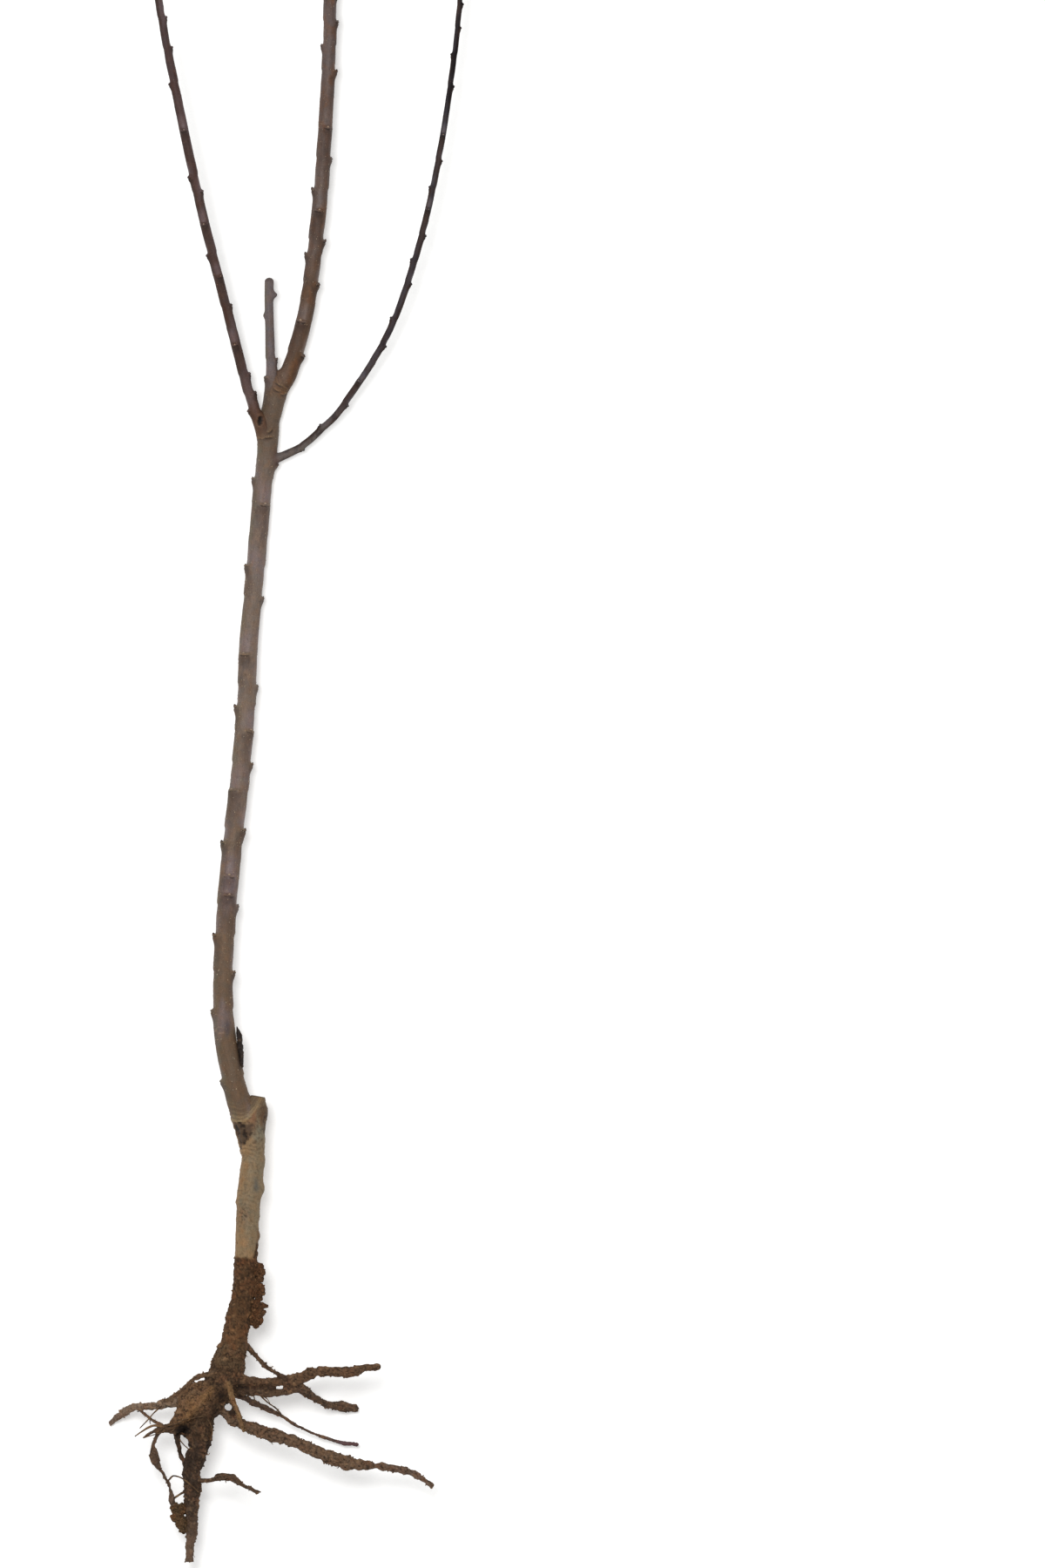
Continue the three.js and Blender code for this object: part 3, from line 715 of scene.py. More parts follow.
def earth_tint(tint, crevice, small, broad, lump, rib=0.0):
    """Soil colours over a base tint: red patches, painted shade in the crevices, and pale crumbs with a
    painted highlight on lump tops.
    """
    tint = paint(
        tint,
        (SOIL_RED * 1.1, 0.45 * smooth(0.0, 0.5, -broad)),
        # painted shade in the crevices between lumps
        (CREVICE_SHADE, 0.85 * smooth(0.15, 0.75, crevice)),
        # pale crumbs, with a painted highlight on lump tops and ribs
        (PALE_SOIL_AND_HIGHLIGHT * 1.12, 0.5 * smooth(0.1, 0.7, 0.5 * rib + 0.7 * small + 0.6 * lump)),
    )
    return tint * (1 + 0.2 * small)[:, None]


def patch_at(p, x, y, wide, tall):
    """A soft oval on the front of the stem."""
    return np.exp(-(((p[:, 0] - x) / wide) ** 2) - ((p[:, 1] - y) / tall) ** 2)


def hollow_at(limb):
    """The ragged hollow where the left bough leaves the trunk, darkened with painted shade, and the pale lip
    round it.
    """
    x, y = BOUGH_FOOT
    oval = patch_at(limb.rest, x + 0.12 * (limb.rest[:, 1] - y), y, 2.0, 3.7)
    oval = oval + 0.2 * fbm(limb.rest, 1.8, 3, 18)
    front = np.sin(limb.A) > -0.2
    return smooth(0.4, 0.66, oval) * front, hump(oval - 0.3, 0.14) * front


def stem_masks(limb):
    """Where each kind of bark, soil and mark lies on the trunk and the snag."""
    p, y, a = limb.rest, limb.rest[:, 1], limb.A
    m = SimpleNamespace()
    m.cushion, m.dark, m.rim, m.above, m.below = cushions(limb)
    m.broad = fbm(p, 16, 3, 1, (1, 2.6, 1))
    m.patch = fbm(p, 6, 3, 2, (1, 2, 1))
    m.small = fbm(p, 1.7, 3, 3)
    m.streak = fbm(limb.unrolled(limb.S / 9), 1.3, 3, 4)
    m.past_fold = y - fold_height(p) - 0.9 * fbm(p, 7, 2, 5)
    m.scion = smooth(-0.7, 0.9, m.past_fold)
    m.facing = smooth(-0.2, 0.3, np.sin(a))
    soil_line = SOIL_LINE + 9 * smooth(0.6, 0.95, np.cos(a)) + 2.0 * fbm(p, 5, 3, 6)
    m.soil = smooth(1.0, -1.2, y - soil_line)
    m.stock = (1 - m.scion) * (1 - m.soil)
    # the stock's folds and pits, and the graft's folds with the torn bark below them
    folds = np.maximum(patch_at(p, *UPPER_FOLDS), patch_at(p, *LOWER_FOLDS))
    m.fold_zone = folds * smooth(-0.5, 0.3, m.patch)
    m.cross = np.sin(2 * math.pi * (y + 0.14 * (p[:, 0] - 10) ** 2 / 4 + 1.1 * m.small) / 2.7)
    pit_d, pit_r = cells(p, 3.4, 9)
    m.pit = smooth(0.42, 0.1, pit_d) * smooth(0.78, 0.92, pit_r)
    m.graft = (y > GRAFT_LOW) * smooth(195, 180, y)
    m.fold, m.gully = np.zeros((2, len(p)))
    for offset, tall, wide in GRAFT_FOLDS:
        m.fold += tall * hump(m.past_fold - offset - 0.5 * m.small, wide)
        m.gully += tall * hump(m.past_fold - offset - 1.2 - 0.5 * m.small, 0.3)
    uneven = 0.5 + 0.5 * smooth(-0.4, 0.3, m.patch)
    m.fold, m.gully = m.fold * uneven * m.graft, m.gully * uneven * m.graft
    torn = patch_at(p, *TORN_BARK) * m.facing * smooth(0.4, -0.6, m.past_fold)
    m.torn = smooth(0.26, 0.56, torn + 0.42 * fbm(p, 3.8, 3, 15))
    m.crack = smooth(-0.2, 0.3, fbm(p, 3.4, 4, 13)) * m.torn
    m.seam = patch_at(p, *GRAFT_SEAM) * smooth(0.16, 0.03, np.abs(fbm(p, 5, 3, 16)))
    # the ridge ring and the hollow under the left bough, and the knob under the right one
    m.ring = smooth(0.3, 0.75, np.cos(a - math.radians(128)))
    m.ridge = hump(y - RIDGE_Y - 1.2 * np.sin(3 * a), 0.8) * m.ring
    m.hollow, m.lip = hollow_at(limb)
    m.knob = lump_on(limb, y - KNOB_Y, 1.0, 3.0, 10, 3.6)
    return m


def stem_relief(limb, m, lift):
    """How far the bark of the trunk and the snag stands out, given how far the soil does."""
    p, y = limb.rest, limb.rest[:, 1]
    # smooth bark with faint cross wrinkles
    wrinkle = np.sin(2 * math.pi * (limb.S / 1.5 + 0.9 * fbm(p, 9, 2, 7)))
    near_node = np.maximum(smooth(0, 0.6, m.dark), 0.35 * m.below)
    wrinkle = 0.035 * wrinkle * (0.3 + near_node)
    push = m.cushion + m.scion * (0.13 * m.broad + 0.055 * m.small + 0.03 * m.streak + wrinkle)
    # older bark of the stock: lumps, pits and flakes
    lump_d, lump_r = cells(p, 7.5, 8)
    lump = smooth(0.5, 0.1, lump_d) * smooth(0.72, 0.9, lump_r)
    flake = smooth(0.05, 0.35, fbm(p, 4.5, 3, 10, (1, 1.4, 1)))
    rough = 0.42 * m.broad + 0.2 * m.small + 0.8 * lump - 0.42 * m.pit + 0.22 * flake
    push += m.stock * (rough + 0.32 * m.cross * m.fold_zone)
    for height, tall, long, side in STOCK_LUMPS:
        push += lump_on(limb, y - height, tall, long, side, 3.6)
    push += m.soil * (0.3 + lift)
    # the graft
    push += 0.7 * m.fold - 0.3 * m.gully + 0.35 * hump(m.past_fold + 4, 3.5) * (y > GRAFT_LOW)
    push -= 0.9 * m.crack + 0.3 * m.torn
    push -= 0.5 * m.seam
    # the fork and the stub
    push += 0.55 * m.ridge - 0.25 * hump(y - 587.4, 1.2) * m.ring
    push += 0.3 * m.lip - 1.2 * m.hollow
    push += (1.5 + 0.5 * m.small) * m.knob
    for height, tall, long, side in STUB_LUMPS:
        push += lump_on(limb, y - height, tall, long, side, 1.9)
    return push


def scion_tint(limb, m):
    """The young smooth bark above the graft."""
    y, a = limb.rest[:, 1], limb.A
    low_scion = mix(SCION_LOW, SCION_MID, 0.35)
    stops = [(165, SCION_LOW), (300, low_scion), (390, SCION_MID), (540, SCION_TOP), (592, FORK)]
    tint = paint(
        ramp(y, stops + [(618, FORK), (632, STUB), (700, STUB)]),
        (VIOLET, 0.5 * smooth(0.0, 0.5, m.broad)),
        (MOSS_GREY, 0.55 * smooth(0.25, 0.85, -np.cos(a)) * smooth(-0.35, 0.25, m.patch)),
        (BAND, 0.5 * m.below * smooth(-0.5, 0.2, m.patch + 0.3)),
        # painted sheen above each bud, in a paler violet
        (VIOLET * 1.12, 0.6 * m.above),
        (SCION_TAN, 0.22 * smooth(0.25, 0.6, -m.patch) * smooth(640, 600, y)),
    )
    return tint * (1 + 0.1 * m.streak + 0.1 * m.small)[:, None]


def stock_tint(limb, m):
    """The older bark below the graft, with its folds, scabs and stains."""
    p, a, small, patch = limb.rest, limb.A, m.small, m.patch
    scabby = patch_at(p, *STOCK_SCAB) * m.facing
    tint = paint(
        STOCK,
        (STOCK_ORANGE, 0.26 * smooth(0.1, 0.6, patch)),
        (FOLD_PALE, 0.65 * m.fold_zone * smooth(0.1, 0.9, m.cross)),
        (STOCK_DARK, 0.7 * m.fold_zone * smooth(-0.3, -0.9, m.cross)),
        (STOCK_GREEN, 0.4 * smooth(0.1, 0.5, -m.broad + 0.35 * np.cos(a - 0.5))),
        (SCAR_GREY, 0.75 * patch_at(p, *GREY_SCAR) * m.facing),
        (GRAFT_GREY, 0.75 * patch_at(p, *GREY_PATCH) * m.facing),
        (STOCK_DARK, 0.45 * np.maximum(m.pit, smooth(0.2, 0.9, -small - 0.5 * patch))),
        (SCAB, 0.5 * scabby * smooth(-0.2, 0.3, small)),
        (CRACK_AND_SHADE, 0.8 * scabby * smooth(0.16, 0.04, np.abs(fbm(p, 2.4, 3, 14)))),
    )
    # a darker patch on the right side of the graft
    right_darkening = clamp(1.4 * patch_at(p, *RIGHT_DARK_PATCH))
    return paint(
        tint * (1 + 0.22 * small + 0.1 * m.streak)[:, None],
        (GRAFT_BROWN, 0.75 * patch_at(p, *BROWN_PATCH) * smooth(-0.5, 0.2, patch)),
        (GRAFT_DARK, 0.85 * right_darkening * smooth(-0.7, 0.3, small + patch)),
        (CRACK_AND_SHADE, 0.7 * patch_at(p, *GRAFT_CRACK) * smooth(-0.4, 0.3, small)),
        (GRAFT_EARTH, 0.5 * m.graft * smooth(0.15, 0.5, -small)),
    )


def stem_tint(limb, m, marks):
    """Scion, stock and soil, and the marks of the graft, the scars and the fork over them."""
    p, y, a, small = limb.rest, limb.rest[:, 1], limb.A, m.small
    soil_stops = [(-10, SOIL), (14, SOIL * 1.05), (32, SOIL), (44, SOIL * 0.72), (85, SOIL * 0.7)]
    edge_strip = smooth(0.8, 0.95, np.cos(a)) * smooth(92, 86, y) * (1 - m.soil)
    # crease: where painted shade goes, in the crotch under the right bough
    crease = hump(np.linalg.norm((p[:, :2] - [31.6, 571.6]) / [2.6, 1.3], axis=1), 1.0) * (np.cos(a) > 0.2)
    bough_brown = clamp(1.4 * patch_at(p, *BOUGH_PATCH)) * smooth(-0.2, 0.3, np.sin(a))
    bough_brown = bough_brown * smooth(586, 589.5, y)
    stub_top = smooth(*STUB_TOP, y) * (limb is trunk)
    return paint(
        scion_tint(limb, m),
        (stock_tint(limb, m), 1 - m.scion),
        (CALLUS, 0.8 * clamp(m.fold)),
        (STOCK_DARK, 0.6 * clamp(m.gully)),
        (TORN_BROWN, 0.85 * m.torn),
        (CRACK_AND_SHADE * 0.6, 0.9 * m.crack),
        (SCAR_AND_SHADE, 0.8 * m.seam),
        (EDGE_BROWN, 0.8 * edge_strip),
        (earth_tint(ramp(y, soil_stops), *marks), m.soil),
        # scar colour over the scar grooves and the painted shadow below each bud
        (SCAR_AND_SHADE, 0.8 * clamp(m.dark)),
        (SCAR_RIM, 0.55 * clamp(m.rim)),
        (SCAR_AND_SHADE * 1.5, 0.75 * clamp(m.knob * (0.8 + small))),
        # painted shade in the crease under the right bough
        (CRACK_AND_SHADE * 0.5, 0.95 * crease),
        (CROTCH_BROWN, 0.7 * clamp(1.3 * patch_at(p, *FORK_PATCH))),
        (SCAR_RIM * 0.8, 0.3 * clamp(m.ridge)),
        # painted shade in the hollow under the left bough
        (CRACK_AND_SHADE * 0.35, m.hollow),
        (BOUGH_BROWN, 0.75 * bough_brown * (1 - m.hollow)),
        (HOLLOW_LIP, 0.45 * m.lip * (1 - m.hollow)),
        (SCAR_AND_SHADE * 1.5, 0.6 * stub_top * smooth(0, 0.5, small + 0.4)),
    )


def stem_surface(limb):
    """Relief, colour, soil and gloss for the trunk and the snag."""
    m = stem_masks(limb)
    lift, *marks = earth(limb.rest)
    limb.push = stem_relief(limb, m, lift)
    limb.tint = stem_tint(limb, m, marks)
    limb.soil = m.soil
    limb.gloss = m.scion * clamp(m.above + 0.4 * smooth(0.1, 0.5, m.broad))


def trunk_marks():
    """A ring scar and a bruise low on the front, and a long strip of painted shadow at the right edge, under
    the bark sliver.
    """
    p, (x, y, z) = trunk.rest, trunk.rest.T
    front = z > trunk.C[:, 2]
    away = np.linalg.norm((p[:, :2] - [-4.2, 214.2]) / [2.7, 1.9], axis=1)
    ring = hump(away - 1, 0.2) * front * smooth(-0.6, 0.1, fbm(p, 2.5, 2, 21))
    trunk.push += 0.22 * ring - 0.25 * hump(away, 0.7) * front
    bruise = clamp(1.3 * (patch_at(p, *TRUNK_BRUISE) * front))
    # painted shadow on the trunk under the curled bark sliver
    sliver_shadow = hump((x - 8.2) / 1.4, 1.0) * smooth(187, 192, y) * smooth(221, 214, y)
    trunk.tint = paint(
        trunk.tint,
        (RING_PALE, 0.5 * ring),
        (BRUISE_GREY, 0.7 * bruise),
        (SCAR_AND_SHADE * 0.8, 0.85 * sliver_shadow * (np.cos(trunk.A) > 0.3)),
    )


def snag_cut():
    """The bare sawn end of the snag, with a dark rim."""
    end, share = snag.S > 1, snag.share_all
    face, rim = end & (share < 0.95), end & (share > 0.85) & (share < 1)
    snag.tint = paint(snag.tint, (SAWN_WOOD, 0.8 * face), (SCAR_AND_SHADE, 0.75 * rim))


def bough_surface(limb, stops, warm, film_and_sheen, film_and_sheen_share, seed, light_side, deep):
    """Relief and colour of the leader and the two boughs, with painted shade on the side away from light_side
    and a painted sheen towards it and above each bud.
    """
    p, side = limb.rest, np.cos(limb.A - math.radians(light_side))
    push, dark, rim, above, below = cushions(limb, 0.3 + 0.5 * deep)
    broad = fbm(p, 13, 3, seed, (1, 2.4, 1))
    patch = fbm(p, 5, 3, seed + 1, (1, 2, 1))
    small = fbm(p, 1.3, 3, seed + 2)
    streak = fbm(limb.unrolled(limb.S / 10), 1.0, 3, seed + 3)
    wrinkle = np.sin(2 * math.pi * (limb.S / 1.25 + 0.8 * fbm(p, 7, 2, seed + 4)))
    wrinkle = 0.03 * wrinkle * (0.25 + smooth(0, 0.6, dark))
    push += 0.1 * broad + 0.045 * small + 0.03 * streak + wrinkle
    tint = paint(
        ramp(p[:, 1], stops),
        (warm, 0.55 * smooth(0.0, 0.45, patch)),
        # silvery film with a painted sheen, strongest on the side towards light_side
        (film_and_sheen, film_and_sheen_share * smooth(-0.15, 0.5, broad + 0.5 * side)),
    )
    # painted shade: darker on the side turned away from light_side
    tint = tint * (1 - deep * smooth(0.1, 0.9, -side + 0.3 * broad))[:, None]
    # painted sheen above each bud
    tint = paint(tint, (BAND * 0.6, (0.3 + deep) * below), (film_and_sheen * 1.2, (0.35 + 0.6 * deep) * above))
    tint = tint * (1 + 0.12 * streak + 0.13 * small)[:, None]
    # scar colour over the scar grooves and the painted shadow below each bud
    limb.tint = paint(tint, (SCAR_AND_SHADE * 0.8, 0.95 * clamp(1.15 * dark)), (film_and_sheen * 1.35, 0.6 * clamp(rim)))
    limb.gloss = clamp(above + 0.6 * smooth(0, 0.4, broad))
    limb.push = push + fillet(limb, trunk, *limb.join)


FOOT_RINGS = [  # how far from the middle ring, how tall
    (-5.0, 0.3), (-3.3, 0.45), (-1.7, 0.3), (-0.2, 0.35), (1.5, 0.26), (3.1, 0.2), (5.2, 0.12),
]


def leader_foot():
    """The swelling and the broken rings of bark at the leader's foot."""
    leader.push += lump_on(leader, leader.S - 23.5, 1.7, 2.4, 155, 3.2)
    ring_at = leader.S - 15.5 + 2.6 * np.cos(leader.A) + 2.4 * np.sin(leader.A)
    uneven = fbm(leader.rest, 3.2, 3, 41)
    broken = smooth(-0.45, 0.35, fbm(leader.rest, 4.5, 2, 42))
    for offset, tall in FOOT_RINGS:
        ring = hump(ring_at - offset - 1.0 * uneven, 0.5) * (0.25 + 0.75 * broken)
        groove = hump(ring_at - offset - 0.75 - 1.0 * uneven, 0.3) * broken
        leader.push += tall * ring - 0.2 * groove
        leader.tint = paint(leader.tint, (WRINKLE_PALE, 0.3 * ring), (SCAR_AND_SHADE * 1.3, 0.5 * groove))


def left_foot():
    """The hollow and the brown bark at the left bough's foot."""
    hollow, lip = hollow_at(left)
    left.push += 0.25 * lip - 1.1 * hollow
    borrow_tint(left, 7, 20)
    left.tint = paint(
        left.tint,
        (LEFT_FOOT_BROWN, 0.75 * clamp(1.4 * patch_at(left.rest, *LEFT_FOOT))),
        (LEFT_LIP, 0.4 * lip),
        # painted shade in the hollow
        (CRACK_AND_SHADE * 0.35, hollow),
    )


stem_surface(trunk)
for limb in (left, right, leader, snag):
    trunk.push += fillet(trunk, limb, *limb.join)
TRUNK_LEDGES = [(22.6, 588.4, 6.0, -2, 0.8), (27.0, 592.4, 2.0, 40, 0.4)]  # x, y, half width, tilt, sag
FORK_LEDGE = (31.4, 618.0, 2.2, -24, 0.6)
add_ledges(trunk, TRUNK_LEDGES + [FORK_LEDGE, (31.6, 571.2, 2.2, 30, 0.5)])
trunk_marks()
trunk_skin = trunk.skin()
trunk_tree = KDTree(len(trunk_skin))
for number, point in enumerate(trunk_skin):
    trunk_tree.insert(point, number)
trunk_tree.balance()

stem_surface(snag)
snag.push += fillet(snag, trunk, *snag.join)
snag_cut()
borrow_tint(snag, 3, 12)

bough_surface(
    leader,
    [(610, srgb(100, 70, 43)), (650, srgb(92, 67, 45)), (720, srgb(90, 69, 56)), (800, srgb(92, 74, 66)),
     (860, srgb(95, 81, 77)), (1095, srgb(90, 76, 75))],
    warm=srgb(110, 72, 44), film_and_sheen=srgb(104, 92, 88), film_and_sheen_share=0.4, seed=30, light_side=160, deep=0.15,
)
leader_foot()
add_ledges(leader, [FORK_LEDGE, (35.4, 615.6, 2.0, 8, 0.8), (32.6, 621.8, 2.4, -34, 0.5)])
borrow_tint(leader, 6, 15)

bough_surface(
    left,
    [(590, srgb(84, 61, 46)), (640, srgb(70, 49, 39)), (740, srgb(74, 52, 47)), (850, srgb(70, 54, 54)),
     (1000, srgb(66, 50, 51))],
    warm=srgb(68, 40, 31), film_and_sheen=srgb(108, 91, 93), film_and_sheen_share=0.42, seed=50, light_side=20, deep=0.32,
)
left_foot()

bough_surface(
    right,
    [(575, srgb(108, 98, 90)), (600, srgb(84, 76, 75)), (645, srgb(58, 49, 51)), (720, srgb(37, 29, 32)),
     (860, srgb(23, 18, 20)), (985, srgb(21, 16, 19))],
    warm=srgb(30, 21, 23), film_and_sheen=srgb(88, 82, 87), film_and_sheen_share=0.28, seed=70, light_side=145, deep=0.55,
)
borrow_tint(right, 5, 9)

add_limb("trunk_with_stub", trunk, "trunk", "pruned_stub")
add_limb("stock_snag", snag)
add_limb("leader_bough", leader, "leader")
add_limb("left_bough_skin", left, "left_bough")
add_limb("right_bough_skin", right, "right_bough")

# ---- buds and lenticels ----
BUD_POINTS, BUD_FACES = bud_shape()
DOME_POINTS, DOME_FACES = dome()
# pale bud tip colour, also a painted highlight
BUD_TIP_AND_HIGHLIGHT = srgb(178, 156, 134)
LOWEST_BUD = 240  # height below which a scar has lost its bud


def add_buds(name, limb, size, colour):
    """Small blunt buds, each sunk to half its depth in the bark above its leaf scar."""
    pick = np.random.default_rng(len(limb.buds))
    origin, axes, sizes, front = [], [], [], []
    for s0, turn, i in limb.buds:
        ring = int(np.argmin(np.abs(limb.s - s0 - 0.1) + 9 * (limb.share < 1)))
        k = ring * limb.sides + int(round(turn / (2 * math.pi) * limb.sides)) % limb.sides
        if limb.rest[k, 1] < LOWEST_BUD:
            continue
        along, out = limb.along[ring], limb.out[k]
        lean = math.radians(pick.uniform(8, 26))
        axis = unit(along * math.cos(lean) + out * math.sin(lean))
        across = unit(np.cross(axis, out))
        long = size * (0.8 + 0.05 * limb.radius[i]) * pick.uniform(0.8, 1.15)
        origin.append(limb.rest[k] + out * (0.1 + 0.07 * limb.radius[i]) - along * 0.3)
        axes.append([across, np.cross(axis, across), axis])
        sizes.append([0.48 * long, 0.4 * long, 0.85 * long])
        front.append(out[2])
    points, faces = scatter(BUD_POINTS, BUD_FACES, np.array(origin), np.array(axes), np.array(sizes))
    t = np.tile(BUD_POINTS[:, 2], len(origin))
    tone = np.repeat(pick.uniform(0.75, 1.15, len(origin)), len(BUD_POINTS))
    front = np.repeat(front, len(BUD_POINTS))
    rows = np.clip(t, 0, None) * 2.6
    edge = hump(rows - np.floor(rows) - 0.92, 0.22) * (t < 0.92)
    tint = paint(
        colour * tone[:, None],
        (SCAR_AND_SHADE, 0.6 * edge + 0.4 * smooth(0.3, 0, t)),
        # pale tips shown only on buds that face up: partly the tip's colour, partly painted highlight
        (BUD_TIP_AND_HIGHLIGHT, 0.7 * smooth(0.35, 0.7, t) * smooth(0.35, 0.8, front)),
    )
    add_piece(name, points, faces, tint, limb.bark)


def add_lenticels(name, limb, count, size, rows, lo, hi=1.0, cork=CORK):
    """Pale corky warts in rough rows up the bark, between two shares of the limb's length."""
    skin, normals = limb.skin(), limb.normals()
    pick = np.random.default_rng(count)
    first, last = np.searchsorted(limb.s, [lo * limb.length, hi * limb.length])
    ring = pick.integers(first, last - 1, count)
    row = (pick.integers(0, rows, count) + 0.32 * pick.normal(size=count)) / rows
    k = ring * limb.sides + (row * limb.sides).astype(int) % limb.sides
    out = normals[k]
    along = unit(limb.along[ring] + 0.2 * pick.normal(size=(count, 3)))
    across = unit(np.cross(along, out))
    axes = np.stack([across, np.cross(out, across), out], 1)
    long = size * pick.uniform(0.6, 1.3, count)
    sizes = np.stack([long * pick.uniform(0.5, 0.8, count), long, 0.42 * long], 1)
    points, faces = scatter(DOME_POINTS, DOME_FACES, skin[k] - out * 0.02, axes, sizes)
    tone = np.repeat(pick.uniform(0.72, 1.12, count), len(DOME_POINTS))[:, None]
    add_piece(name, points, faces, cork * tone, limb.bark)


add_buds("trunk_buds", trunk, 1.9, srgb(84, 68, 60))
add_buds("leader_buds", leader, 1.9, srgb(80, 62, 54))
add_buds("left_bough_buds", left, 1.4, srgb(68, 50, 45))
add_buds("right_bough_buds", right, 1.3, srgb(50, 41, 41))
add_lenticels("trunk_lenticels", trunk, 820, 0.42, 17, 0.27, 0.9)
add_lenticels("stock_lenticels", trunk, 26, 0.5, 14, 0.13, 0.24)
add_lenticels("leader_lenticels", leader, 760, 0.3, 15, 0.04)
add_lenticels("left_bough_lenticels", left, 260, 0.26, 11, 0.04, cork=srgb(138, 112, 92))
add_lenticels("right_bough_lenticels", right, 180, 0.24, 9, 0.04, cork=srgb(92, 79, 72))

# ---- a curled sliver of dead bark at the stem's right edge ----
FLAP_KNOTS = [
    (9.3, 191.2, 29, 0.8), (9.2, 194.3, 29.4, 1.35), (8.8, 199, 29.6, 1.6), (8.2, 204.6, 29.5, 1.6),
    (7.6, 209.4, 29.2, 1.7), (6.9, 213, 29, 1.3), (6.4, 215.4, 29, 0.6),
]
flap = Limb(FLAP_KNOTS, 0.3, 26, ("round", "point"), bark="dead_bark")
flap_edge = fbm(flap.rest, 2.0, 3, 60, (1, 1.5, 1))
flap.push = 0.6 * flap_edge * flap.R + 0.12 * np.abs(np.sin(flap.A)) * flap.R
flap.tint = mix(FLAP_DARK, FLAP_EDGE, smooth(0.1, 0.7, flap_edge))
add_limb("bark_sliver", flap, "bark_flap")


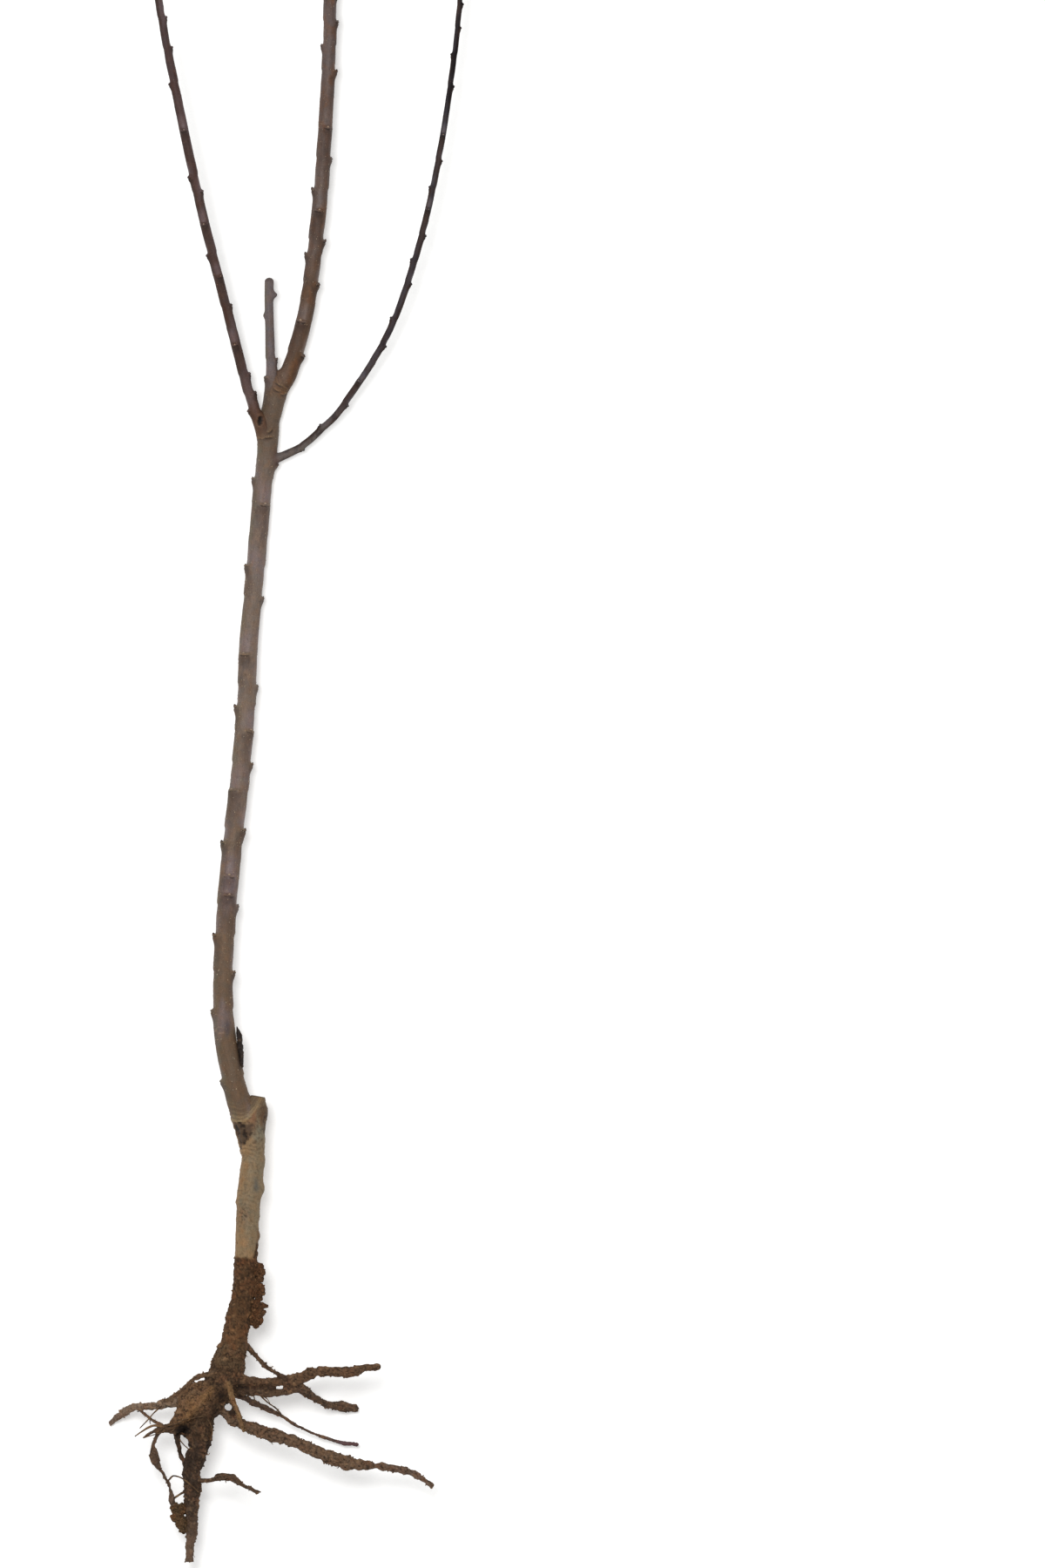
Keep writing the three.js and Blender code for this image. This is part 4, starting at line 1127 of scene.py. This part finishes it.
# ---- the root system: one skin around every root, grown with soft unions ----
ROOTS = {  # softness of the join, colour, knots
    "stem_foot": (3, srgb(98, 76, 54), [
        (6, 26, 33.2, 6.4), (3.8, 14, 33.8, 8.0), (0.4, 1, 34, 10.0)]),
    "crown": (3, srgb(84, 63, 45), [
        (0, 0, 34, 10.2), (-3, -9.6, 34.6, 10.8), (-9, -18, 35, 10.0), (-15.2, -27, 34.8, 7.2),
        (-17.2, -35, 34.2, 7.6), (-17.6, -43, 33.4, 7.2)]),
    "burl": (1.8, srgb(119, 90, 64), [
        (-10, -12, 36, 6.4), (-17, -16.5, 38.5, 7.6), (-22.6, -21, 38, 8.0), (-27, -28, 36.5, 5.8),
        (-33, -36, 34, 4.2)]),
    "burl_ridge": (1.6, srgb(130, 96, 62), [
        (-8, -10.5, 43, 1.8), (-14, -16, 46.4, 2.4), (-19.6, -22.4, 45.6, 2.4), (-25, -29, 42.6, 2.0),
        (-30, -34.5, 38.6, 2.0)]),
    # its dark colour is partly painted shade on the tap root's upper end; TAP_TIP lightens the tip
    "tap_root": (2.2, srgb(76, 60, 48), [
        (-17.6, -36, 33.6, 7.8), (-17.2, -47, 32.8, 6.1), (-20, -56, 32, 5.4), (-22.2, -64, 31.4, 5.5),
        (-22.1, -78, 30, 4.8), (-22.4, -90, 29, 4.2), (-22.8, -103, 28, 3.2), (-23.5, -113, 27.4, 2.7),
        (-24, -123, 27, 2.4)]),
    "tap_lump": (1.2, srgb(74, 57, 43), [
        (-15.6, -51, 33, 2.0), (-13.8, -52.6, 33.6, 1.8)]),
    "left_root": (2.0, srgb(141, 118, 97), [
        (-18, -15, 38, 5.2), (-26, -17.8, 36, 4.6), (-34, -20, 33.6, 3.3), (-46, -22.9, 28, 2.4),
        (-58.6, -23.8, 19, 2.1), (-66, -28, 9.6, 2.3), (-74, -34, 2.2, 1.6)]),
    "upper_left": (1.0, srgb(112, 88, 66), [
        (-6, -2.4, 40, 2.2), (-13, -2.8, 42, 1.7), (-19.4, -4.8, 42.4, 1.6), (-27, -11, 41, 1.3),
        (-38, -19.4, 35.6, 1.2)]),
    "rootlets": (2, srgb(98, 76, 57), [
        (-30, -34, 35, 4.2), (-35, -37, 34.8, 3.4), (-41, -37.2, 36, 2.3), (-46, -38.4, 37.4, 1.2),
        (-50, -41, 38, 0.8), (-53, -43, 38, 0.55)]),
    "crossing": (1, srgb(102, 80, 62), [
        (-56, -25, 22, 1.0), (-48, -31.4, 28, 1.1), (-39.6, -36.4, 33.6, 1.4)]),
    "hanging": (1, srgb(96, 76, 60), [
        (-43, -38.6, 34.6, 1.4), (-46.4, -46, 34, 1.1), (-46.4, -52, 33.4, 2.3),
        (-45.4, -56.6, 33.4, 2.9), (-42.4, -62.6, 33, 1.1), (-37, -71, 32, 0.9), (-35.4, -78, 31, 1.1),
        (-34.6, -83, 30.4, 1.9), (-32.6, -88, 30, 1.6)]),
    "behind": (1.5, srgb(66, 52, 42), [
        (-32, -38, 28.6, 2.2), (-30.6, -48, 29, 1.3), (-28.6, -56, 30, 1.4), (-23, -62, 31, 1.8)]),
    # a near-black filler root in the hollow under the burl: its colour is painted shade
    "cavity_shade": (1.5, srgb(34, 25, 20), [
        (-30.5, -36, 27, 3.4), (-24.5, -40.5, 27.5, 3.2)]),
    "tap_side": (1.2, srgb(92, 72, 56), [
        (-19, -70, 32, 1.6), (-10, -69.6, 38, 1.4), (-4.4, -67.4, 41.4, 2.3), (3.6, -68.2, 43.4, 2.1),
        (10.4, -72.8, 44, 1.2), (20, -76.8, 43.6, 1.1)]),
    "forked": (2.2, srgb(104, 78, 57), [
        (2, -5.6, 36.6, 3.6), (18, -7.3, 37.9, 2.7), (32, -7.3, 37.6, 2.5), (44.2, -6.2, 37.2, 3.9),
        (55.9, -1.1, 39.4, 3.2), (68, -0.6, 41.4, 2.9), (79, -0.8, 43.6, 3.3), (88, 1.8, 45.4, 2.4),
        (95, 2.3, 46.6, 2.1)]),
    "fork_web": (1.5, srgb(72, 54, 41), [
        (8, -10, 35.4, 3.2), (19, -11, 35.6, 1.9), (29.6, -11, 35.8, 1.2)]),
    "lower_fork": (2, srgb(96, 76, 60), [
        (5, -12, 34, 3.4), (18, -14, 34.6, 2.6), (32, -14.7, 34.4, 2.5), (43.6, -11, 34.6, 3.9),
        (53, -16.4, 27, 2.4), (62, -22, 16, 2.1), (71, -23.4, 7.4, 2.9), (80.6, -25.2, 3.2, 2.6)]),
    "middle": (1.5, srgb(96, 76, 64), [
        (3, -14, 27, 2.4), (18.3, -21.9, 21.3, 1.9), (33.5, -29.6, 15, 1.2), (48.5, -38.4, 10.7, 0.8),
        (65.2, -44.9, 7.6, 1.0), (74, -47, 6.6, 1.4), (82, -48, 6, 1.2)]),
    "long": (2.2, srgb(114, 90, 70), [
        (-5, -19, 35, 4.0), (-1, -26.8, 36.6, 3.2), (5, -31.6, 38.6, 3.5), (14.3, -35.8, 41.6, 3.6),
        (24.3, -39.6, 44.5, 3.9), (42, -44.8, 46.2, 3.5), (59.7, -52.8, 46, 3.8),
        (77.6, -58.8, 43.3, 4.1), (95.8, -60.6, 38.9, 2.2), (114, -64.2, 33.5, 2.3), (122, -68, 30, 1.7),
        (129.6, -73.2, 27, 1.1)]),
    "front": (0.9, srgb(132, 102, 69), [
        (0.2, -6.0, 41.6, 2.0), (1.2, -9.6, 45.4, 1.9), (3.4, -17.4, 48.4, 1.6), (5.9, -24.6, 49, 1.5),
        (8.2, -30.4, 47.6, 1.6), (9.4, -34.4, 45.8, 1.4), (10.4, -38.0, 44, 1.1)]),
    "round_web": (1.0, srgb(62, 47, 36), [
        (-0.6, -19.2, 38, 2.0), (2.8, -20.0, 40, 1.9), (4.6, -23.4, 41, 1.7), (3.2, -27.4, 40, 2.0)]),
    "upper_right": (1.5, srgb(86, 66, 50), [
        (7, 19, 35, 2.4), (12.4, 14.6, 37, 2.2), (16, 11, 38, 1.5), (25.4, 1.6, 41, 1.3),
        (32, -2.6, 41.6, 1.3), (37, -5, 40, 1.8)]),
}
ROUND_HOLE = (0.6, -23.4)
HOLES = [  # a hole through the skin, or a dark hollow: x, y, lower and upper end, radius
    (*ROUND_HOLE, 0, 64, 2.2), (-27, -37.6, 40, 56, 3.0), (34.4, -11, 20, 50, 0.9),
]
VOXEL = 0.53
PAD = 5.0  # space round the roots in the grid
CUT_END = -121.4  # height of the tap root's cut end
SHADOW = srgb(30, 22, 18)


def root_curve(rows, number):
    """A root's middle line and radii, both wandering more the further they are from its foot."""
    curve = spline(rows, 60)
    wander = np.stack([fbm(curve[:, :3] + 31 * k, 9, 2, 80 + number + 7 * k) for k in range(3)], 1)
    loose = smooth(0, 8, np.linalg.norm(curve[:, :3] - curve[0, :3], axis=1))
    curve[:, :3] += 0.55 * wander * loose[:, None]
    curve[:, 3] *= 1 + 0.3 * fbm(curve[:, :3], 4.5, 2, 90 + number) * loose
    return curve


def one_root_field(curve, axes, shape):
    """Distance to one root, and the share along it, in the box that holds it."""
    reach = curve[:, 3].max() + PAD
    corner = [max(0, int((curve[:, k].min() - reach - axes[k][0]) / VOXEL)) for k in range(3)]
    far = [min(shape[k], int((curve[:, k].max() + reach - axes[k][0]) / VOXEL) + 2) for k in range(3)]
    own = np.full([b - a for a, b in zip(corner, far)], FAR, np.float32)
    along, run, at = np.zeros_like(own), run_along(curve), 0.0
    while at <= run[-1]:
        c = sample(curve, run, at, 4)
        span = []
        for k in range(3):
            a = int((c[k] - c[3] - 3.5 - axes[k][0]) / VOXEL) - corner[k]
            b = int((c[k] + c[3] + 3.5 - axes[k][0]) / VOXEL) - corner[k] + 2
            span.append(slice(max(a, 0), max(b, 0)))
        span = tuple(span)
        steps = [(axes[k][corner[k] : far[k]][span[k]] - c[k]).astype(np.float32) ** 2 for k in range(3)]
        x, y, z = np.ix_(*steps)
        d = np.sqrt(x + y + z) - np.float32(c[3])
        closer = d < own[span]
        own[span][closer] = d[closer]
        along[span][closer] = at / run[-1]
        at += max(0.3, 0.22 * c[3])
    return own, along, tuple(slice(a, b) for a, b in zip(corner, far))


def root_field():
    """Distance to the nearest root on a grid, with that root's number and the share along it."""
    knots = np.vstack([rows for _, _, rows in ROOTS.values()])
    low = (knots[:, :3] - knots[:, 3:]).min(0) - PAD
    high = (knots[:, :3] + knots[:, 3:]).max(0) + PAD
    shape = np.ceil((high - low) / VOXEL).astype(int) + 1
    field, nearest = np.full(shape, FAR, np.float32), np.full(shape, FAR, np.float32)
    owner, share = np.zeros(shape, np.uint8), np.zeros(shape, np.float32)
    axes = [low[k] + VOXEL * np.arange(shape[k]) for k in range(3)]
    curves = []
    for number, (soft, _, rows) in enumerate(ROOTS.values()):
        curves.append(root_curve(rows, number))
        own, along, box = one_root_field(curves[-1], axes, shape)
        field[box] = soft_union(own, field[box], soft)
        closer = own < nearest[box]
        nearest[box][closer] = own[closer]
        owner[box][closer] = number
        share[box][closer] = along[closer]
    for x, y, lower, upper, radius in HOLES:
        reach = radius + 2
        ends = ((x - reach, x + reach), (y - reach, y + reach), (lower - reach, upper + reach))
        near = tuple(slice(*np.searchsorted(axis, pair)) for axis, pair in zip(axes, ends))
        gx, gy, gz = np.ix_(*(axis[part] for axis, part in zip(axes, near)))
        past = np.clip(np.maximum(lower - gz, gz - upper), 0, None)
        bore = np.sqrt((gx - x) ** 2 + (gy - y) ** 2 + past**2) - radius
        field[near] = -soft_union(-field[near], bore, 1.2)
    return field, owner, share, low, curves


def skin_of(field, low, voxel):
    """A closed quad mesh of the field's zero surface."""
    grid = openvdb.FloatGrid(FAR)
    grid.copyFromArray(np.clip(field, -FAR, FAR).astype(np.float32))
    points, _, quads = grid.convertToPolygons(0.0, 0.0)
    return low + voxel * points.astype(float), quads.astype(int)


def quad_normals(points, quads):
    """Outward directions at the points of a quad mesh."""
    a, b, c, d = (points[quads[:, k]] for k in range(4))
    n = np.repeat(np.cross(c - a, d - b), 4, 0)
    return unit(np.stack([np.bincount(quads.ravel(), n[:, k], len(points)) for k in range(3)], 1))


def spread(values, quads, rounds):
    """Values smoothed over the mesh's neighbours."""
    a, b, count = quads.ravel(), np.roll(quads, 1, 1).ravel(), len(values)
    weight = np.bincount(a, minlength=count) + np.bincount(b, minlength=count)
    channels = values.reshape(count, -1).T
    for _ in range(rounds):
        total = [np.bincount(a, v[b], count) + np.bincount(b, v[a], count) for v in channels]
        channels = 0.5 * channels + 0.5 * np.array(total) / weight
    return channels.T.reshape(values.shape)


def root_grain(p, owner, share, curves):
    """Coordinates round and along each root, for its lengthwise ribs, and the root's radius."""
    grain, radius = np.zeros((len(p), 3)), np.zeros(len(p))
    for number, curve in enumerate(curves):
        mine, run = owner == number, run_along(curve)
        at = share[mine] * run[-1]
        centre = sample(curve, run, at)
        along = unit(sample(curve, run, at + 0.6) - centre + [0, -1e-4, 0])
        right = unit(np.cross(along, [0, 0, 1]) + [1e-4, 0, 0])
        offset = p[mine] - centre
        across, front = (offset * right).sum(1), (offset * np.cross(right, along)).sum(1)
        grain[mine] = np.stack([across + 40 * number, front, at * 0.16], 1)
        radius[mine] = np.interp(at, run, curve[:, 3])
    return grain, radius


def root_skin():
    """The bare skin of the roots: its points, its quads, and what each point knows of its root."""
    field, owner, share, low, curves = root_field()
    r = SimpleNamespace()
    r.p, r.quads = skin_of(field, low, VOXEL)
    index = tuple(np.clip(np.round((r.p - low) / VOXEL).astype(int), 0, np.array(field.shape) - 1).T)
    r.owner, r.share = owner[index], share[index]
    r.grain, r.radius = root_grain(r.p, r.owner, r.share, curves)
    r.normal = quad_normals(r.p, r.quads)
    return r


roots = root_skin()


def on(*names):
    """Which points of the skin lie on these roots."""
    return np.isin(roots.owner, [list(ROOTS).index(name) for name in names])


def root_relief():
    """How far the caked soil, knots and clumps lift the skin, and the soil's marks."""
    p, quads = roots.p, roots.quads
    rib = fbm(roots.grain, 1.5, 3, 106) * np.where(on("stem_foot", "crown", "burl"), 0.35, 1.0)
    rib = spread(rib, quads, 2)
    caked = clamp(0.36 + 0.09 * roots.radius) * np.where(on("front"), 0.7, 1.0)
    caked = spread(caked, quads, 4)
    lift, *marks = earth(p, rib, caked)
    knotty = np.where(on("burl", "burl_ridge", "crown"), 1.0, 0.0) * smooth(0, -8, p[:, 1])
    lift += 1.1 * knotty * fbm(p, 8, 3, 107)
    clump = fbm(p, 4.4, 3, 111)
    ragged = on("long", "forked", "tap_root", "tap_side") * smooth(1.4, 3.2, roots.radius)
    ragged = spread(ragged * smooth(-0.1, 0.5, fbm(p, 13, 2, 112)), quads, 3)
    lift += 1.2 * ragged * (smooth(0.0, 0.7, clump) - 0.35 * smooth(0.0, 0.6, -clump))
    lift *= smooth(2.2, 4.6, np.linalg.norm(p[:, :2] - ROUND_HOLE, axis=1))
    marks[0] *= 0.35 + 0.65 * caked
    return lift, marks, rib


def root_shade(small, broad):
    """Painted shade in the hollows, and in patches on the crown's lower end and the upper tap root."""
    p, y, z = roots.p, roots.p[:, 1], roots.p[:, 2]
    # painted shade on the crown's lower end and the upper tap root
    upper_tap_shade = on("tap_root", "crown") * smooth(-80, -50, y) * smooth(-33, -42, y)
    shade = 0.5 * upper_tap_shade * smooth(-0.4, 0.4, broad + 0.5 * small)
    for hollow in (
        1.4 * patch_at(p, -28, -37.6, 5.0, 4.0) * (z > 30),
        0.85 * patch_at(p, -3.4, -16.0, 2.6, 4.4) * (z > 34),
        0.8 * patch_at(p, 9.5, -10.6, 6.5, 1.9),
        0.7 * patch_at(p, -7.4, -27.5, 2.2, 6.0),
    ):
        shade = np.maximum(shade, hollow)
    return clamp(shade)


def root_colour(marks, rib):
    """Each root's own colour under the soil, with its tip, its bare wood, and painted shade in its hollows
    and on the upper tap root.
    """
    p, small, broad = roots.p, marks[1], marks[2]
    base = np.array([colour for _, colour, _ in ROOTS.values()])[roots.owner]
    # the filler's underside keeps a soil colour; only its top is painted shade
    base[on("cavity_shade") & (p[:, 2] < 27)] = UNDERSIDE_SOIL
    base = earth_tint(spread(base, roots.quads, 14), *marks, rib)
    tips = on("long", "middle", "hanging", "rootlets", "left_root") * smooth(0.62, 0.95, roots.share)
    bare_wood = patch_at(p, -22.6, -20.6, 4.4, 3.6) * (p[:, 2] > 38) * smooth(-0.5, 0.3, small)
    tint = paint(
        base,
        (ROOT_TIP, 0.45 * tips * smooth(-0.3, 0.3, small)),
        (MIDDLE_TIP, 0.6 * on("middle") * smooth(0.8, 0.9, roots.share)),
        (TAP_TIP, 0.6 * on("tap_root") * smooth(0.55, 0.9, roots.share)),
        (BARE_WOOD, 0.55 * bare_wood),
        (SHADOW, 0.94 * root_shade(small, broad)),
    )
    return tint * [0.92, 0.98, 1.08]


root_lift, root_marks, root_rib = root_relief()
root_points = roots.p + roots.normal * root_lift[:, None]
root_points[:, 2] = np.maximum(root_points[:, 2], FLOOR + 0.05)
root_points[:, 1] = np.maximum(root_points[:, 1], CUT_END + 0.25 * root_marks[1])
root_tint = root_colour(root_marks, root_rib)
add_piece(
    "root_skin", root_points, roots.quads.tolist(), root_tint, "root_bark",
    soil=0.45 + 0.5 * smooth(-0.5, 0.2, root_marks[2]), grain=roots.grain,
    nodes=["root_crown", "tap_root", "left_root", "forked_root", "long_root", "middle_root", "front_root",
           "upper_right_root", "upper_left_root", "left_rootlets", "crossing_rootlet", "behind_root",
           "tap_side_root", "hanging_root"],
)

# ---- soil crumbs and fine rootlets ----
FIBRES = [  # the knots of each one
    [(-36.6, -69.4, 32, 0.6), (-33.6, -66.9, 33.5, 0.5), (-28, -68.6, 36.4, 0.5), (-22.3, -73, 37, 0.5),
     (-18.2, -77, 35, 0.4)],
    [(-35, -82, 30.5, 0.9), (-31, -79.4, 31, 0.7), (-26, -76.4, 31, 0.8)],
    [(19, -14, 36, 0.7), (25.3, -20.4, 32, 0.45), (31.3, -25, 25, 0.5), (35.4, -30.4, 17, 0.6),
     (40, -33.4, 13.4, 0.5)],
    [(-41, -22.6, 33, 0.6), (-46, -27, 33.6, 0.45), (-50, -31.6, 34, 0.4), (-55, -36.8, 34, 0.3)],
    [(-40, -36, 37, 0.9), (-45.6, -35, 38, 0.75), (-49.4, -36.2, 38.4, 0.7), (-54, -39, 38.4, 0.55),
     (-58, -41.8, 38, 0.4)],
    [(-33.6, -36.3, 38.6, 0.5), (-42, -39.6, 40, 0.4), (-52.6, -42.6, 40, 0.3)],
    [(-15, -29.0, 43.4, 0.3), (-21, -30.2, 44.4, 0.32), (-26, -30.6, 44.2, 0.32),
     (-31, -33.6, 42.6, 0.32), (-38, -35.4, 40.4, 0.3), (-45, -40, 39, 0.25)],
    [(13, -16, 38, 0.45), (14.4, -19.6, 37, 0.3), (14, -22, 36, 0.22)],
    [(17, -16.6, 37, 0.4), (18, -20.4, 36, 0.3), (20.6, -23, 35, 0.22)],
    [(22, -16.4, 36, 0.4), (25.4, -18.4, 35, 0.3), (27.4, -22, 34, 0.2)],
    [(-10.4, -44, 38, 0.5), (-9.2, -38, 39.4, 0.45), (-11.6, -32, 42, 0.4), (-16, -28.6, 43.6, 0.3)],
    [(-30, -44, 34, 0.4), (-27.2, -47.4, 35.4, 0.35), (-24, -50, 37.6, 0.3)],
]
CRUMBS = 1100
STRAY_FIBRES = 60


def soil_crumbs():
    """Loose crumbs stuck on the roots and on the soiled foot of the stem, here thick and there thin."""
    pick = np.random.default_rng(21)
    foot = trunk.soil > 0.7
    spots = np.vstack([root_points, trunk_skin[foot]])
    normals = np.vstack([roots.normal, trunk.normals()[foot]])
    crowd = (0.12 + smooth(-0.3, 0.9, fbm(spots, 6, 2, 108))) * (normals[:, 2] > -0.5) * (spots[:, 2] > 2)
    chosen = pick.choice(len(spots), CRUMBS, replace=False, p=crowd / crowd.sum())
    shape, faces = ball()
    size = 0.22 + 0.46 * pick.random(CRUMBS) ** 2
    out = normals[chosen]
    across = unit(np.cross(out, pick.normal(size=(CRUMBS, 3))))
    axes = np.stack([across, np.cross(out, across), out], 1)
    sizes = size[:, None] * pick.uniform([0.7, 0.7, 0.7], [1.7, 1.3, 1.4], (CRUMBS, 3))
    points, faces = scatter(shape, faces, spots[chosen] + out * size[:, None] * 0.3, axes, sizes)
    points = points + 0.2 * np.stack([fbm(points, 0.7, 2, 109 + 11 * k) for k in range(3)], 1)
    points[:, 2] = np.maximum(points[:, 2], FLOOR + 0.05)
    under = np.vstack([root_tint, trunk.tint[foot]])[chosen] * pick.uniform(0.9, 1.35, (CRUMBS, 1))
    tint = np.repeat(under, len(shape), 0) * (1 + 0.3 * fbm(points, 1.2, 2, 110))[:, None]
    add_piece("soil_crumbs", points, faces, tint, "root_bark", soil=1.0)


def stray_fibres():
    """Short broken rootlets that stand off the roots."""
    pick = np.random.default_rng(5)
    pool = (roots.p[:, 1] < 12) & (roots.normal[:, 2] > -0.35)
    points, normals = roots.p[pool], roots.normal[pool]
    curves = []
    for i in pick.choice(len(points), STRAY_FIBRES, replace=False):
        start, out = points[i], normals[i]
        side = unit(np.cross(out, pick.normal(size=3)))
        length, r = pick.uniform(1.2, 3.4), pick.uniform(0.18, 0.36)
        bend = pick.uniform(-0.8, 0.8)
        middle = start + out * length * 0.35 + side * length * 0.3
        tip = start + out * length * (0.45 + 0.3 * bend) + side * length * 0.8
        tip[2] = max(tip[2], FLOOR + 0.5)
        curves.append([(*(start - 0.3 * out), r * 1.3), (*middle, r), (*tip, r * 0.6)])
    return curves


def root_fibres():
    """Thin rootlets as closed tubes in one mesh, each with a tone of its own."""
    curves = FIBRES + stray_fibres()
    tones = np.random.default_rng(8).uniform(0.75, 1.25, len(curves))
    points, faces, tone = np.empty((0, 3)), [], []
    for number, knots in enumerate(curves):
        tube = Limb(knots, 0.9, 6)
        tube.push = 0.12 * fbm(tube.rest, 2.2, 2, 300 + number)
        tube_points, tube_faces = tube.mesh()
        faces += [[v + len(points) for v in f] for f in tube_faces]
        points = np.vstack([points, tube_points])
        tone += [tones[number]] * len(tube_points)
    tint = mix(FIBRE_PALE, FIBRE_DARK, smooth(-0.3, 0.4, fbm(points, 4, 2, 310)))
    add_piece("root_fibres", points, faces, tint * np.array(tone)[:, None], "root_bark", soil=0.4)


soil_crumbs()
root_fibres()

# ---- clods of soil that still hang on the stem and the tap root ----
CLODS = {  # each clod's balls: x, y, z, radius
    "upper_clod": [
        (16.4, 62, 32.4, 2.8), (17.6, 61, 32.6, 2.8), (19, 64.6, 33, 3.1), (21.4, 64.4, 34, 2.4),
        (21.6, 61, 34, 2.6), (20.6, 57.6, 33, 2.6)],
    "middle_clod": [
        (17.4, 49.6, 32.6, 3.0), (17.6, 53.6, 32.6, 2.8), (19.6, 52.4, 33, 3.2), (21.8, 52.2, 34, 2.2),
        (21.8, 49, 34, 2.4), (20, 45.8, 33, 2.6)],
    "lower_clod": [
        (15.4, 30.4, 33, 2.1), (17.6, 34.4, 33.4, 2.6), (15.0, 34.6, 33, 2.6), (15.6, 38, 33, 2.8),
        (16.6, 41.6, 33, 2.8), (18.2, 41, 34, 3.4), (22.6, 40, 34, 2.0), (24.6, 40.4, 34.2, 1.2),
        (21, 36.4, 34, 3.2), (19.6, 31.4, 34, 3.2), (18, 28.6, 34, 2.4)],
    "tap_clod": [
        (-32.4, -87.6, 30, 3.5), (-28, -87.4, 30, 3.2), (-31.4, -92.6, 30, 4.1), (-28.8, -97, 30, 3.9),
        (-27.8, -100.8, 29.6, 2.7)],
}
CLOD_VOXEL = 0.3


def clod(balls, number):
    """One clod's points and quads: soft balls with broken faces."""
    balls = np.array(balls)
    low = (balls[:, :3] - balls[:, 3:]).min(0) - 2.5
    high = (balls[:, :3] + balls[:, 3:]).max(0) + 2.5
    axes = [np.arange(*ends, CLOD_VOXEL) for ends in zip(low, high)]
    grid = np.stack(np.meshgrid(*axes, indexing="ij"), -1)
    flat = grid.reshape(-1, 3)
    d = np.full(len(flat), FAR)
    for row in balls:
        d = soft_union(np.linalg.norm(flat - row[:3], axis=1) - row[3], d, 1.2)
    away, _ = cells(flat, 2.6, 120 + number)
    d += 0.75 * smooth(0.3, 0.75, away) - 0.35 + 0.5 * fbm(flat, 2.2, 3, 130 + number)
    return largest_piece(*skin_of(d.reshape(grid.shape[:3]), low, CLOD_VOXEL))


def largest_piece(points, quads):
    """The connected part of a mesh with the most points."""
    label, before = np.arange(len(points)), None
    while before is None or (label != before).any():
        before = label.copy()
        np.minimum.at(label, quads.ravel(), np.repeat(label[quads].min(1), 4))
        label = label[label]
    keep = label == np.bincount(label).argmax()
    renumber = np.cumsum(keep) - 1
    return points[keep], renumber[quads[keep[quads[:, 0]]]]


def soil_clods():
    """All the clods as one piece."""
    parts = [clod(balls, number) for number, balls in enumerate(CLODS.values())]
    starts = np.cumsum([0] + [len(points) for points, _ in parts])
    points = np.vstack([points for points, _ in parts])
    quads = np.vstack([quads + start for (_, quads), start in zip(parts, starts)])
    lift, *marks = earth(points * 1.4, strong=0.5)
    points = points + quad_normals(points, quads) * lift[:, None]
    tint = mix(CLOD_BROWN, CLOD_PALE, smooth(-60, -70, points[:, 1]))
    tint = earth_tint(tint, *marks)
    add_piece("soil_clods", points, quads.tolist(), tint, "clod_soil", 1.0, slot="soil", nodes=list(CLODS))


soil_clods()

# ---- camera, floor and light ----
FRAME_HEIGHT = 990.0  # millimetres of the plant's plane that fill the picture
FRAME_CENTRE = np.array([186.45, 369.6, 24.0])  # the point in the middle of the picture
CAMERA_DISTANCE = 14000.0
SENSOR = 36  # millimetres
FLOOR_HALF = 6.0  # metres
FLOOR_GAP = 0.0002  # metres from the part's lowest point down to the floor
scene = bpy.context.scene


def add_object(name, data, at):
    obj = bpy.data.objects.new(name, data)
    obj.location = at
    scene.collection.objects.link(obj)
    return obj


def add_camera():
    """A camera high above the plant that looks straight down."""
    data = bpy.data.cameras.new("camera")
    data.sensor_width = SENSOR
    data.lens = SENSOR * CAMERA_DISTANCE / FRAME_HEIGHT
    data.clip_end = 50
    scene.camera = add_object("camera", data, place(FRAME_CENTRE + [0, 0, CAMERA_DISTANCE]))


def add_floor():
    """A plain white floor."""
    mesh = bpy.data.meshes.new("floor")
    corners = [(x * FLOOR_HALF, y * FLOOR_HALF, 0) for x, y in ((-1, -1), (1, -1), (1, 1), (-1, 1))]
    mesh.from_pydata(corners, [], [(0, 1, 2, 3)])
    material = bpy.data.materials.new("floor_white")
    material.use_nodes = True
    sockets = material.node_tree.nodes["Principled BSDF"].inputs
    sockets["Base Color"].default_value = (0.93, 0.93, 0.925, 1)
    sockets["Roughness"].default_value = 0.9
    sockets["Emission Color"].default_value = (1, 1, 0.995, 1)
    sockets["Emission Strength"].default_value = 0.3
    mesh.materials.append(material)
    add_object("floor", mesh, (0, 0, -FLOOR_GAP))


def add_light():
    """A soft lamp above, and a white sky."""
    data = bpy.data.lights.new("key", "AREA")
    data.size = 1.0
    data.energy = 66
    lamp = add_object("key", data, (-0.42, 0.3, 3.3))
    lamp.rotation_euler = (-lamp.location).to_track_quat("-Z", "Y").to_euler()
    world = bpy.data.worlds.new("studio")
    world.use_nodes = True
    sockets = world.node_tree.nodes["Background"].inputs
    sockets["Color"].default_value = (1.0, 0.995, 0.985, 1)
    sockets["Strength"].default_value = 0.42
    scene.world = world


add_camera()
add_floor()
add_light()
scene.view_settings.view_transform = "Standard"

for obj, slot, nodes in pieces:
    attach(obj, "root")
    if nodes:
        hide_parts(*nodes)
